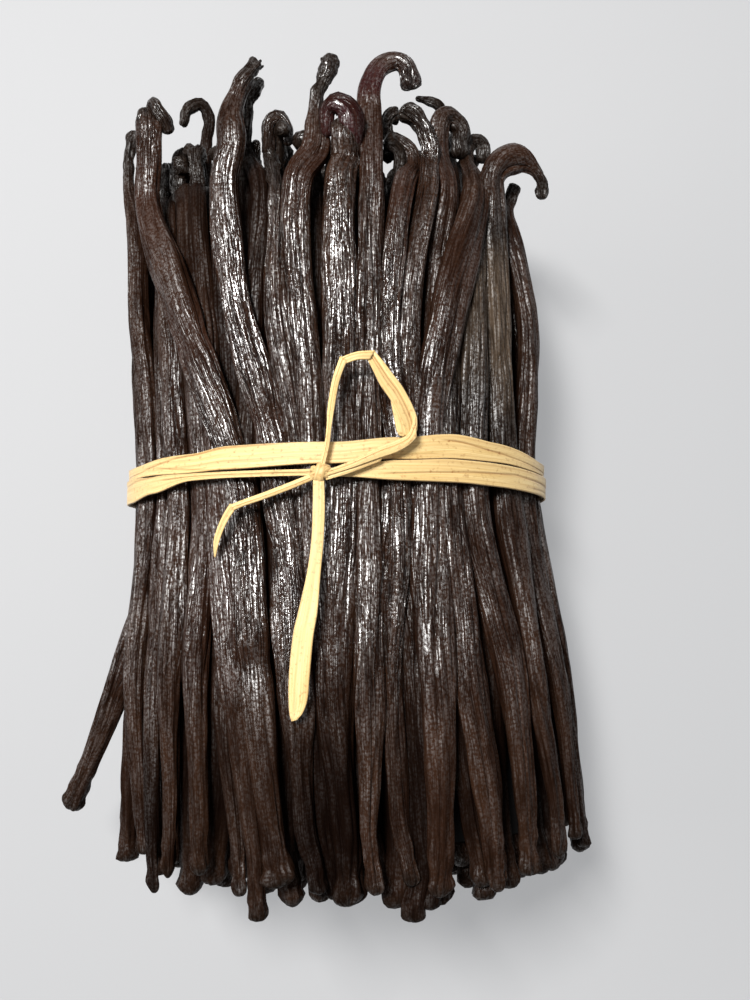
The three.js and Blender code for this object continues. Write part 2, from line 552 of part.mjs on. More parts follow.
function part(name, manifold, material) {
  const mesh = new THREE.Mesh(geometryOf(manifold), material);
  mesh.name = name;
  mesh.position.set(ORIGIN_X, ORIGIN_Y, 0);
  return mesh;
}

const bundle = new THREE.Group();
bundle.add(part('pod_bundle', bundleSolid(), podMaterial));
bundle.add(part('raffia_tie', tieSolid(), raffiaMaterial));

export default bundle;
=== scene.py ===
"""Bundle of cured vanilla pods tied round the waist with a raffia strip, dressed over its solid frame.

Lengths are worked out in millimetres, in the bundle's own axes: X across the bundle, Y from the blunt
ends to the curled stem tips, Z up from the floor. They become metres when a mesh is written.
"""

from __future__ import annotations

import logging
import math
from dataclasses import dataclass, field
from enum import Enum, IntEnum
from typing import Any, Callable, Iterable, Sequence, Union

import bmesh
import bpy
from mathutils import Euler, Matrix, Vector, noise

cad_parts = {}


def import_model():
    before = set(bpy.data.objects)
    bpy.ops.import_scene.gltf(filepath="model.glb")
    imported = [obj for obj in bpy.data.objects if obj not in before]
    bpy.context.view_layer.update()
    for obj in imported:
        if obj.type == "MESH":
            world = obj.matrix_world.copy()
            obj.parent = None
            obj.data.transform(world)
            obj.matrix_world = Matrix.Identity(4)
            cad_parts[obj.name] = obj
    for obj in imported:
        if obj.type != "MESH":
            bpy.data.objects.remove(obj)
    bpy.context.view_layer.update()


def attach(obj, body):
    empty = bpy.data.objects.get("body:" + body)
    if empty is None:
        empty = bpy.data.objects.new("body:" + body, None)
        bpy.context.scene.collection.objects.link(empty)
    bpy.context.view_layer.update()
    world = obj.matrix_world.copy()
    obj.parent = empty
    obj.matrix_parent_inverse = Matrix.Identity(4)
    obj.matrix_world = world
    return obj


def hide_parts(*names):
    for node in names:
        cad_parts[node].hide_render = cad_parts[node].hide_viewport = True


MM = 0.001
ORIGIN = Vector((2.3, -0.05, 0.0))  # from the bundle's axis to the frame's origin, mm
LOG = logging.getLogger("vanilla_bundle")

Point3 = tuple[float, float, float]
Tint = tuple[float, float, float, float]  # what a vertex tells its finish, see PodModeller and RaffiaTie
EndPoint = tuple[float, float, float, float]  # x, y, z and diameter
Place = Callable[[int, int], tuple[Vector, Tint]]  # point and tint of a vertex in a row and a column
Tree = bpy.types.NodeTree
Source = Union[bpy.types.Node, bpy.types.NodeSocket]


# ---- Small sums ----


def mix(low: float, high: float, share: float) -> float:
    """Value a share of the way from low to high."""
    return low + (high - low) * share


def smoothstep(start: float, end: float, value: float) -> float:
    """Eased 0 to 1 as value goes from start to end.

    Args:
        start: Value at and under which the result is 0.
        end: Value at and over which it is 1.
        value: The value looked at.

    Returns:
        The eased share.
    """
    share = min(max((value - start) / (end - start), 0.0), 1.0)
    return share * share * (3.0 - 2.0 * share)


def bell(offset: float, reach: float) -> float:
    """1 at no offset, fading smoothly over a reach."""
    return math.exp(-((offset / reach) ** 2))


class Salt(IntEnum):
    """Which property of a pod is drawn."""

    DRIFT = 1
    CROWN = 2
    BUTT = 3
    CURL_TURN = 4
    CURL_SWEEP = 5
    WIDTH = 6
    STEM = 7
    NECK = 8
    SHOULDER = 9
    RUST_PLACE = 10
    RUST_AMOUNT = 11
    MATTE = 12
    SHOWN_SEED = 20
    SIDE_SEED = 21
    SECOND_SEED = 22
    INNER_SEED = 23
    END_SEED = 24


class BluntSalt(IntEnum):
    """Which property of a pod's blunt end is drawn."""

    KNOB = 5
    CROOK = 6
    DOME = 7


INDEX_STRIDE, SALT_STRIDE, DRAW_SPREAD = 12.9898, 78.233, 43758.5453  # unrelated, so that draws scatter


def rounded_end(distance: float, depth: float) -> float:
    """Share of a section that is left at a distance from a rounded end of some depth."""
    short = 1 - min(distance / depth, 1.0)
    return math.sqrt(max(1 - short * short, 0.0))


def draw(index: int, salt: int) -> float:
    """Repeatable draw between 0 and 1.

    Args:
        index: Number of the pod.
        salt: Which of the pod's properties is drawn.

    Returns:
        The draw.
    """
    value = math.sin(index * INDEX_STRIDE + salt * SALT_STRIDE) * DRAW_SPREAD
    return value - math.floor(value)


@dataclass(frozen=True)
class Scatter:
    """A size that differs from pod to pod: its least value, and the most that a share adds to it."""

    least: float
    more: float

    def at(self, share: float) -> float:
        """The size for a share of 0 to 1."""
        return self.least + self.more * share


def linear_colour(code: str) -> Tint:
    """Linear RGBA of an sRGB value, by the curve of the sRGB standard.

    Args:
        code: Hex value such as "#2b1a14".

    Returns:
        Red, green, blue and an alpha of 1.
    """
    parts = [int(code[k : k + 2], 16) / 255.0 for k in (1, 3, 5)]
    turned = [p / 12.92 if p <= 0.04045 else ((p + 0.055) / 1.055) ** 2.4 for p in parts]
    return (turned[0], turned[1], turned[2], 1.0)


# ---- Outline of the bundle ----


@dataclass(frozen=True)
class BundleOutline:
    """Oval outline of the bundle, flared to the blunt ends and pressed in under the tie. Millimetres."""

    mid_height: float = 36.0
    waist_half_width: float = 49.2
    waist_half_depth: float = 34.5
    flare_width: float = 0.075
    flare_depth: float = 0.047
    crown_spread: float = 0.015
    crown_rise: float = 0.02
    butt_lean: float = 0.058
    crown_lean: float = 0.025
    cinch: float = 0.9
    cinch_reach: float = 11.0
    underside_depth: float = 37.0
    underside_waist_rise: float = 3.1
    underside_waist_reach: float = 15.0
    underside_squareness: float = 2.7

    def centre_x(self, y: float) -> float:
        """Where the axis lies across the bundle at a station."""
        return self.butt_lean * max(-y, 0.0) - self.crown_lean * max(y, 0.0)

    def half_width(self, y: float) -> float:
        """Half the width at a station."""
        return self.waist_half_width + self.flare_width * max(-y, 0.0) + self.crown_spread * max(y, 0.0)

    def half_depth(self, y: float) -> float:
        """Axis to the top at a station."""
        return self.waist_half_depth + self.flare_depth * max(-y, 0.0) + self.crown_rise * max(y, 0.0)

    def point(self, turn: float, y: float, lift: float, pressed: bool = True) -> Vector:
        """Point on the outline.

        Args:
            turn: Degrees round the bundle, 0 at +X and 90 on top.
            y: Station along the bundle.
            lift: Millimetres out of the outline.
            pressed: Whether the tie's dent counts.

        Returns:
            The point.
        """
        out = lift - (self.cinch * bell(y, self.cinch_reach) if pressed else 0.0)
        across = math.cos(math.radians(turn))
        up = math.sin(math.radians(turn))
        wide = self.half_width(y) + out
        if up >= 0.0:
            high = self.half_depth(y) + out
            return Vector((self.centre_x(y) + wide * across, y, self.mid_height + high * up))
        power = 2.0 / self.underside_squareness
        deep = self.underside_depth - self.underside_waist_rise * bell(y, self.underside_waist_reach) + out
        reach = wide * math.copysign(abs(across) ** power, across)
        return Vector((self.centre_x(y) + reach, y, self.mid_height - deep * abs(up) ** power))

    def outward(self, point: Vector) -> Vector:
        """Direction out of the bundle at a point."""
        return Vector(
            (point.x / self.waist_half_width**2, 0.0, (point.z - self.mid_height) / self.waist_half_depth**2)
        ).normalized()

    def top(self, x: float, y: float) -> float:
        """Height of the outline's upper side at a place."""
        share = (x - self.centre_x(y)) / self.half_width(y)
        return self.mid_height + self.half_depth(y) * math.sqrt(1.0 - share * share)

    def even_turns(self, start: int, end: int, count: int) -> list[int]:
        """Angles that lie evenly spaced along the waist.

        Args:
            start: First angle in degrees.
            end: Last angle in degrees.
            count: How many angles.

        Returns:
            The angles.
        """
        walk = [0.0]
        for turn in range(start + 1, end + 1):
            walk.append(walk[-1] + (self.point(turn, 0, 0) - self.point(turn - 1, 0, 0)).length)
        marks = [walk[-1] * k / (count - 1) for k in range(count)]
        return [start + next(i for i, length in enumerate(walk) if length >= mark) for mark in marks]


OUTLINE = BundleOutline()


# ---- Paths ----


class SmoothPath:
    """Centripetal Catmull-Rom curve through points, read by the distance along it."""

    STEPS_PER_SPAN = 32
    SHORTEST = 1e-6  # least length of a span, mm
    BEFORE_LAST = 1.001  # from the count of samples to just short of the last one
    PROBE = 0.4  # how far to each side a direction is read, mm

    def __init__(self, points: Sequence[Vector]) -> None:
        """Samples the curve.

        Args:
            points: What the curve goes through, at least two.
        """
        first = points[0] * 2.0 - points[1]
        last = points[-1] * 2.0 - points[-2]
        knots = [first, *points, last]
        self._samples: list[Vector] = [points[0].copy()]
        self._spans: list[float] = [0.0]
        for k in range(1, len(knots) - 2):
            for step in range(1, self.STEPS_PER_SPAN + 1):
                self._samples.append(self._blend(knots[k - 1 : k + 3], step / self.STEPS_PER_SPAN))
                self._spans.append(k - 1 + step / self.STEPS_PER_SPAN)
        self._walk = [0.0]
        for before, after in zip(self._samples, self._samples[1:]):
            self._walk.append(self._walk[-1] + (after - before).length)
        self.length = self._walk[-1]

    @staticmethod
    def _blend(knots: Sequence[Vector], share: float) -> Vector:
        """Point between the middle two of four knots.

        Args:
            knots: The four.
            share: Share of the way from the second to the third.

        Returns:
            The point.
        """
        steps = zip(knots, knots[1:])
        gaps = [max((after - before).length, SmoothPath.SHORTEST) ** 0.5 for before, after in steps]
        leaving = (knots[1] - knots[0]) / gaps[0] - (knots[2] - knots[0]) / (gaps[0] + gaps[1])
        leaving = (leaving + (knots[2] - knots[1]) / gaps[1]) * gaps[1]
        arriving = (knots[2] - knots[1]) / gaps[1] - (knots[3] - knots[1]) / (gaps[1] + gaps[2])
        arriving = (arriving + (knots[3] - knots[2]) / gaps[2]) * gaps[1]
        square = share * share
        cube = square * share
        return (
            knots[1] * (2 * cube - 3 * square + 1)
            + leaving * (cube - 2 * square + share)
            + knots[2] * (3 * square - 2 * cube)
            + arriving * (cube - square)
        )

    def _find(self, distance: float) -> tuple[int, float]:
        """Sample that lies before a distance.

        Args:
            distance: Millimetres from the start.

        Returns:
            Number of the sample, and the share of the way to the next.
        """
        low, high = 0, len(self._walk) - 2
        while low < high:
            middle = (low + high + 1) // 2
            if self._walk[middle] <= distance:
                low = middle
            else:
                high = middle - 1
        gap = self._walk[low + 1] - self._walk[low]
        return low, min(max((distance - self._walk[low]) / gap, 0.0), 1.0)

    def at(self, distance: float) -> Vector:
        """Point at a distance from the start."""
        k, share = self._find(distance)
        return self._samples[k].lerp(self._samples[k + 1], share)

    def at_span(self, span: float) -> Vector:
        """Point between two knots.

        Args:
            span: Knot and share of the way to the next, such as 1.5 between the second and the third.

        Returns:
            The point.
        """
        place = min(span * self.STEPS_PER_SPAN, len(self._samples) - self.BEFORE_LAST)
        k = int(place)
        return self._samples[k].lerp(self._samples[k + 1], place - k)

    def along(self, distance: float) -> Vector:
        """Unit direction at a distance from the start."""
        ahead = self.at(min(distance + self.PROBE, self.length))
        return (ahead - self.at(max(distance - self.PROBE, 0.0))).normalized()

    def span(self, distance: float) -> float:
        """Number of the knot reached at a distance, with the share of the way to the next."""
        k, share = self._find(distance)
        return mix(self._spans[k], self._spans[k + 1], share)


@dataclass
class Ring:
    """One cross-section of a tube: its place, its two directions and its half sizes, in millimetres."""

    at: Vector
    out: Vector
    across: Vector
    half_width: float
    half_thick: float
    distance: float


def transported_rings(
    path: SmoothPath,
    distances: Iterable[float],
    first_out: Vector,
    follows: Callable[[float], bool],
    sizes: Callable[[float], tuple[float, float]],
) -> list[Ring]:
    """Rings along a path whose outward direction turns as little as it can.

    Args:
        path: The centreline.
        distances: Where the rings lie on it.
        first_out: Outward direction of the first ring.
        follows: Whether the ring at a distance faces out of the bundle.
        sizes: Half width and half thickness at a distance.

    Returns:
        The rings.
    """
    rings = []
    out = first_out
    for distance in distances:
        at = path.at(distance)
        along = path.along(distance)
        if follows(distance):
            out = OUTLINE.outward(at)
        out = (out - along * out.dot(along)).normalized()
        rings.append(Ring(at, out, along.cross(out), *sizes(distance), distance))
    return rings


# ---- Mesh work ----


class MeshMaker:
    """Collects rolled grids in one bmesh and turns them into an object that rides on the frame."""

    WELD = 2e-7  # metres under which two vertices of a seam are one

    def __init__(self, name: str) -> None:
        """Starts an empty mesh.

        Args:
            name: Name of the object to come.
        """
        self.name = name
        self.mesh = bmesh.new()
        self.uv = self.mesh.loops.layers.uv.new("surface")
        self.tint = self.mesh.verts.layers.float_color.new("tint")

    def roll(self, columns: int, rows: int, place: Place, uv_scale: tuple[float, float]) -> None:
        """Rolls a grid into a closed tube, or a ring where its rows meet too.

        Args:
            columns: Faces around the tube.
            rows: Faces along it.
            place: Gives the point in millimetres and the tint of the vertex in a row and a column.
            uv_scale: Size that the surface coordinates get around and along.
        """
        made = bmesh.ops.create_grid(self.mesh, x_segments=columns, y_segments=rows, size=0.5, calc_uvs=True)
        verts = made["verts"]
        low = Vector((min(v.co.x for v in verts), min(v.co.y for v in verts)))
        high = Vector((max(v.co.x for v in verts), max(v.co.y for v in verts)))
        faces = {face for vert in verts for face in vert.link_faces}
        for face in faces:
            face.smooth = True
            for loop in face.loops:
                uv = loop[self.uv].uv
                loop[self.uv].uv = (uv.x * uv_scale[0], uv.y * uv_scale[1])
        for vert in verts:
            column = round((vert.co.x - low.x) / (high.x - low.x) * columns)
            row = round((vert.co.y - low.y) / (high.y - low.y) * rows)
            point, tint = place(row, column)
            vert.co = (point + ORIGIN) * MM
            vert[self.tint] = tint
        bmesh.ops.remove_doubles(self.mesh, verts=verts, dist=self.WELD)

    def finish(self, material: bpy.types.Material, node: str) -> bpy.types.Object:
        """Makes the object and hangs it on the frame.

        Args:
            material: Finish of the whole piece.
            node: Frame node that the piece stands for.

        Returns:
            The finished object.
        """
        bmesh.ops.recalc_face_normals(self.mesh, faces=self.mesh.faces)
        data = bpy.data.meshes.new(self.name)
        self.mesh.to_mesh(data)
        self.mesh.free()
        data.materials.append(material)
        piece = bpy.data.objects.new(self.name, data)
        bpy.context.scene.collection.objects.link(piece)
        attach(piece, "root")
        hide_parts(node)
        triangles = sum(len(polygon.vertices) - 2 for polygon in data.polygons)
        LOG.info("%s: %d triangles", self.name, triangles)
        return piece


# ---- Pods ----

CROWN_STATION = 62.0
STATIONS = (-85.0, -48.0, -3.0, 35.0, CROWN_STATION)
PLUMP = 1.25  # a pod's thickness over that of the flat solid that stands for it, its outside kept in place
PLAIN_HUE = 0.5  # the tint's red of a plain brown skin
HUE_SPAN = 0.5  # from plain to the reddest, and to the blackest
STEM_DRYNESS = 0.5  # up to here the tint's blue says how dry a stem is, and from here how weathered a skin is


@dataclass(frozen=True)
class Neck:
    """How a pod ends: the stem's diameter and length, the narrowing into it, and how far its end swells."""

    stem: float = 3.4
    length: float = 9.0
    shoulder: float = 24.0
    knob: float = 0.3


@dataclass(frozen=True)
class Patch:
    """A stretch of a pod that is redder, blacker or shinier: where along the bundle, how far, how much."""

    y: float
    reach: float
    amount: float


@dataclass(frozen=True)
class Pod:
    """One cured pod. Turn in degrees and lift in millimetres are given at the five stations."""

    turn: tuple[float, float, float, float, float]
    lift: tuple[float, float, float, float, float]
    width: float
    thick: float
    butt: float
    stem: tuple[Point3, ...]
    neck: Neck = Neck()
    # Stretches that are redder, and with a negative amount blacker.
    rust: tuple[Patch, ...] = ()
    matte: float = 0.45
    shine: tuple[Patch, ...] = ()
    pinches: tuple[float, ...] = ()
    weathered: float = 0.0

    def path(self) -> SmoothPath:
        """Centreline of the pod.

        Returns:
            The path from the blunt end to the end of the stem.
        """
        places = zip(self.turn, (self.butt, *STATIONS[1:]), self.lift)
        body = [OUTLINE.point(turn, y, lift - PLUMP * self.thick / 2) for turn, y, lift in places]
        return SmoothPath([*body, *(Vector(p) for p in self.stem)])

    def lift_at(self, y: float) -> float:
        """Lift at a station, straight between the five given ones.

        Args:
            y: Station along the bundle.

        Returns:
            Millimetres out of the outline.
        """
        place = min(max(y, STATIONS[0]), STATIONS[-1])
        k = next(k for k in range(len(STATIONS) - 1) if place <= STATIONS[k + 1])
        return mix(self.lift[k], self.lift[k + 1], (place - STATIONS[k]) / (STATIONS[k + 1] - STATIONS[k]))


SHOWN_PODS = (
    Pod(
        (150, 157, 156, 161, 165), (-0.3, 1.2, 0.5, 1.4, 1.6), 7.4, 5, -82,
        ((-50.5, 72, 44), (-50, 79, 46), (-48.5, 84, 48)),
        Neck(2.6, 8, 20), matte=0.7, shine=(Patch(-25, 20, 0.3),),
    ),
    Pod(
        (137.5, 138.5, 139, 145, 150), (0, 0, 0, -1.5, -3), 7.4, 5.2, -85,
        ((-41, 71, 42), (-41.5, 78.5, 42)),
        matte=0.75, shine=(Patch(-25, 22, 0.35), Patch(12, 12, 0.3)),
    ),
    Pod(
        (125, 128.5, 129.5, 134.5, 138), (0, 0, -1.2, -2.5, -3.5), 7.6, 5, -83,
        ((-36.7, 70.7, 47), (-37, 77, 48), (-36.6, 79.3, 48)),
        Neck(4.2, 3, 14, 0), rust=(Patch(-20, 30, 0.35),), matte=0.8,
        shine=(Patch(-30, 22, 0.45), Patch(10, 12, 0.4)),
    ),
    Pod(
        (109.4, 116, 124, 130, 134), (0.7, 0, -0.4, -2.5, -4), 8.5, 5, -90,
        (
            (-32.9, 71.9, 45), (-31.8, 82.6, 46), (-31.3, 87.7, 47), (-33, 90, 48), (-35.3, 88.6, 49),
            (-36.8, 84, 50),
        ),
        Neck(2.8, 14, 14, -0.25), rust=(Patch(-20, 25, 0.5),), matte=0.8,
        shine=(Patch(-28, 20, 0.5), Patch(14, 12, 0.3)),
    ),
    Pod(
        (106.5, 111, 116.5, 131, 145), (0, 0, 0, 3, 3.5), 10, 5.4, -84,
        ((-42.6, 70.5, 57.5), (-42.8, 76.2, 58), (-42.9, 80, 58), (-43.2, 83.8, 57)),
        Neck(6.4, 1, 10, 0), pinches=(28, -41),
        rust=(Patch(62, 14, 0.6), Patch(28, 9, 0.5), Patch(-76, 18, -0.2)), matte=0.68,
        shine=(Patch(-22, 22, 0.65), Patch(12, 12, 0.5), Patch(48, 9, 0.2), Patch(78, 6, 0.4)),
    ),
    Pod(
        (100, 101, 104.5, 114.5, 116.5), (0, 0, 0, 0.8, 2), 9, 5.2, -85,
        ((-21.8, 70.4, 68), (-22.2, 76.3, 68), (-20.3, 82.8, 68), (-18.2, 86.5, 68), (-16.8, 89.2, 67)),
        Neck(3.6, 5, 14, -0.1), pinches=(9,),
        rust=(Patch(84, 6, 0.5), Patch(8, 7, 0.5), Patch(-76, 22, -0.7)), matte=0.5,
        shine=(Patch(-25, 22, 0.55), Patch(34, 26, 0.5)),
    ),
    Pod(
        (117.7, 121, 117, 113, 110), (-2.5, -2.5, -3.5, -4, -4), 7.5, 5, -87,
        ((-20, 72.7, 60), (-19.9, 79, 61.5), (-19.4, 82.6, 62), (-18.5, 85.2, 62), (-17.3, 87.1, 62)),
        Neck(2.8, 12, 16, 0.1), matte=0.4,
    ),
    Pod(
        (96, 98, 98.5, 103.5, 104.5), (-4, -3, -1.2, -1, -1.5), 7, 5, -87,
        ((-14.3, 70.5, 63.5), (-14.4, 74, 65)),
        Neck(3.2, 12, 40, 0), rust=(Patch(60, 8, 0.3), Patch(78, 4, 0.4), Patch(-76, 24, -0.9)), matte=0.45,
        shine=(Patch(55, 25, 0.3), Patch(-20, 15, 0.3)),
    ),
    Pod(
        (93, 95, 95, 97, 97), (-5, -2.5, -0.3, 0, 0.6), 8.4, 5.2, -83,
        (
            (-3.9, 68.6, 68), (-4.1, 75.2, 68), (-3.4, 80.5, 68), (-2, 85.3, 68), (-0.7, 88.8, 68),
            (-0.9, 89.8, 68),
        ),
        Neck(3.5, 12, 9, 0), rust=(Patch(64, 9, 0.6), Patch(-68, 28, -1.0)), matte=0.5,
        shine=(Patch(42, 20, 0.4), Patch(-18, 14, 0.3)),
    ),
    Pod(
        (91, 91.7, 88, 86.8, 86), (-3.5, -1.2, 0, 0.6, 1.5), 9.5, 5.4, -88,
        ((2.9, 65.8, 69), (2.9, 70, 70.5), (2.5, 74.2, 71)),
        Neck(6, 1, 8, 0), rust=(Patch(76, 4, 0.7), Patch(-70, 24, -0.6)), matte=0.45,
        shine=(Patch(46, 22, 0.55), Patch(-16, 14, 0.3)),
    ),
    Pod(
        (87, 84.3, 80.8, 79.4, 78), (-0.2, 0, -0.3, 0, 1), 7.5, 5, -85,
        (
            (8, 77.5, 68), (8.2, 82.8, 68), (10.4, 87.7, 68), (13.7, 89.2, 68), (16.3, 87.2, 68),
            (16.9, 82.3, 68),
        ),
        Neck(4.0, 3, 20, 0.05), rust=(Patch(84, 7, 0.95), Patch(68, 8, 0.4), Patch(-76, 22, 0.35)), matte=0.5,
        shine=(Patch(30, 18, 0.25), Patch(-30, 18, 0.3), Patch(84, 7, 0.3)),
    ),
    Pod(
        (79, 78, 72.9, 73.6, 68.5), (-1.5, -1.5, 0, 0, -0.5), 7.5, 5, -84,
        (
            (17.2, 68, 61), (16.9, 71.7, 61), (14.9, 73.6, 61), (12.2, 75.3, 61), (11.1, 77.9, 61),
            (12.5, 80.3, 61), (14.3, 81.6, 60),
        ),
        Neck(3.0, 12, 12), rust=(Patch(60, 9, 0.6),), matte=0.45,
        shine=(Patch(30, 22, 0.45), Patch(-28, 18, 0.5)),
    ),
    Pod(
        (74, 71, 68, 67.5, 62), (-3, -3, -2.6, -0.6, 0), 7, 5, -89,
        ((20.8, 67.7, 63), (21.1, 71.4, 63.5), (18.9, 76.8, 64.3), (14.8, 80.1, 65)),
        Neck(4.1, 6, 20, 0), rust=(Patch(-76, 22, -0.6),), matte=0.45,
        shine=(Patch(64, 14, 0.4), Patch(-28, 18, 0.45), Patch(20, 14, 0.3)),
    ),
    Pod(
        (60, 60, 58, 58, 55), (-3.5, -3.5, -3, -2.5, -1), 8.5, 5, -86,
        (
            (23, 70.8, 60), (23.1, 76.5, 60), (24.2, 80, 60), (26.4, 81, 58.5), (28.3, 79.3, 57.3),
            (28.7, 73, 55),
        ),
        Neck(4.2, 6, 22, 0.05), rust=(Patch(66, 10, 0.4),), matte=0.6, shine=(Patch(10, 20, 0.3),),
    ),
    Pod(
        (71, 67.3, 64, 57, 45), (0, 0.5, 0, 1.6, 0.5), 10.6, 5.4, -86,
        (
            (31.5, 67.5, 58), (30.4, 72.5, 54.5), (30.8, 77.1, 53.5), (32.5, 78.6, 53), (34.2, 77.7, 52),
            (34.1, 74, 51),
        ),
        Neck(3.2, 12, 16), rust=(Patch(44, 14, 0.3), Patch(-70, 22, 0.4)), matte=0.65,
        shine=(Patch(-20, 20, 0.3), Patch(20, 20, 0.2)),
    ),
    Pod(
        (56.5, 57.5, 57, 54, 50), (0, 0, -0.3, -2.5, -4), 9, 5, -86,
        (
            (26, 75, 52), (25.2, 83.1, 52), (24.6, 86.3, 53), (22.7, 87.6, 54), (20.6, 88.3, 54),
            (18.5, 88.6, 54),
        ),
        Neck(2.7, 8, 24, -0.4), rust=(Patch(-70, 24, 0.3),), matte=0.6,
        shine=(Patch(-25, 20, 0.25), Patch(15, 15, 0.2)), weathered=0.7,
    ),
    Pod(
        (46, 44.5, 48.7, 46, 40.5), (0, 0, 0, -0.3, -0.6), 9, 5.2, -84,
        ((36, 69, 56), (37, 73.5, 53), (40, 75, 51)),
        rust=(Patch(50, 12, 0.25), Patch(-60, 26, 0.2)), matte=0.7,
        shine=(Patch(-25, 20, 0.2), Patch(15, 15, 0.2)), weathered=0.75,
    ),
    Pod(
        (31, 33, 31.5, 34.5, 37), (0, 0, 0, 0, 0.4), 10, 5.2, -82,
        (
            (35.8, 67.5, 57.5), (37.6, 70.5, 57.5), (40.4, 71.9, 57), (43.5, 71.7, 56), (46.2, 69.8, 55),
            (47.7, 67.1, 54), (47.4, 64.2, 53),
        ),
        Neck(2.6, 6, 7, 0.15), rust=(Patch(72, 6, 0.2),), matte=0.8,
        shine=(Patch(10, 25, 0.2), Patch(60, 12, 0.3)), weathered=0.95,
    ),
    Pod(
        (20, 17, 17, 19.5, 25), (0, 0, 0, 1.8, -1.2), 8, 5, -80,
        ((41, 66.5, 48), (42.6, 70, 49)),
        Neck(3, 4, 12), matte=0.75, shine=(Patch(-20, 25, 0.2),),
    ),
    Pod(
        (143, 147.5, 147.5, 151, 152), (0.3, -0.4, -1, -2.8, -5), 6.6, 4.6, -88.5,
        ((-41, 68, 40), (-40, 74, 41)),
        pinches=(-82,), rust=(Patch(-74, 20, -0.7), Patch(-10, 30, 0.2)), matte=0.5,
    ),
    Pod(
        (74, 74, 77, 77, 76), (-3.2, -3, -3.6, -4, -5), 8, 5.6, -91,
        ((8, 68, 58), (6, 73, 59)),
        rust=(Patch(-72, 22, -0.5),), matte=0.5,
    ),
    Pod(
        (181, 176, 172, 168, 166), (16.3, 5.2, -5.5, -7, -8), 6, 7.2, -77,
        ((-41, 67, 38), (-42, 72, 36)),
        matte=0.4,
    ),
)

# Short ends that fold over or swell out of the stems: rows of x, y, z and diameter, and how red each end is.
SHOWN_ENDS = (
    (
        (
            (-42.4, 83.2, 57.4, 2.6), (-41.6, 84.3, 58.8, 3.3), (-40.3, 82.6, 59.4, 3.4),
            (-39.1, 80.9, 59, 3.4), (-37.9, 78.2, 56.8, 3.0),
        ),
        0.2,
    ),
    (((-42.9, 79.5, 58.6, 3.0), (-43.6, 81.4, 58.9, 3.0), (-44.3, 83.3, 58.6, 2.2)), 0.1),
    (((-19.4, 82.6, 62, 2.6), (-18.2, 85.6, 62, 3.2), (-17.2, 87.4, 62, 3.3), (-16.4, 88.6, 62, 2.6)), 0),
    (
        (
            (-14.4, 69.5, 63.2, 2.9), (-14.4, 73.8, 65, 3.0), (-13.8, 76.4, 65.5, 3.3),
            (-12, 77.4, 65.5, 3.4), (-10.6, 75.5, 65, 3.0), (-10, 71.5, 64, 2.4),
        ),
        0.3,
    ),
    (((-2.4, 84, 68, 3.2), (-1.3, 86.4, 68, 3.9), (-0.8, 88.4, 68, 4.1), (-1.2, 90.6, 68, 2.8)), 0),
    (((-1.6, 87.6, 68.4, 1.6), (-2.6, 89.5, 68.6, 0.9)), 0),
    (
        (
            (4.2, 67.5, 67.6, 4.4), (4.4, 71.2, 71, 5.3), (4.3, 73.3, 72.3, 5.2), (3.4, 75, 73, 5),
            (1.8, 76, 73.2, 4.6), (0, 76.2, 72.8, 4), (-1, 74.8, 71.6, 3.4), (-1.1, 72.4, 70.4, 3),
            (-0.9, 70.6, 69.6, 2.6),
        ),
        0.95,
    ),
    (((-13, 66, 60, 4.6), (-13, 72.5, 61, 4.6), (-12.6, 77.4, 61, 3.8)), 0.2),
    (((-18.4, 66, 57, 3.2), (-18.4, 72, 58.5, 3.0), (-17.7, 75.7, 59, 2.4)), 0),
    (((-41, 60, 44, 4), (-41.2, 71.2, 46, 3.4), (-41.4, 76.7, 46, 2.4)), 0),
    (((-17.0, 88.2, 67, 1.2), (-15.9, 89.9, 67.2, 0.5)), 0),
    (((-16.6, 87.9, 66.8, 1.0), (-15.3, 88.6, 67, 0.4)), 0),
)


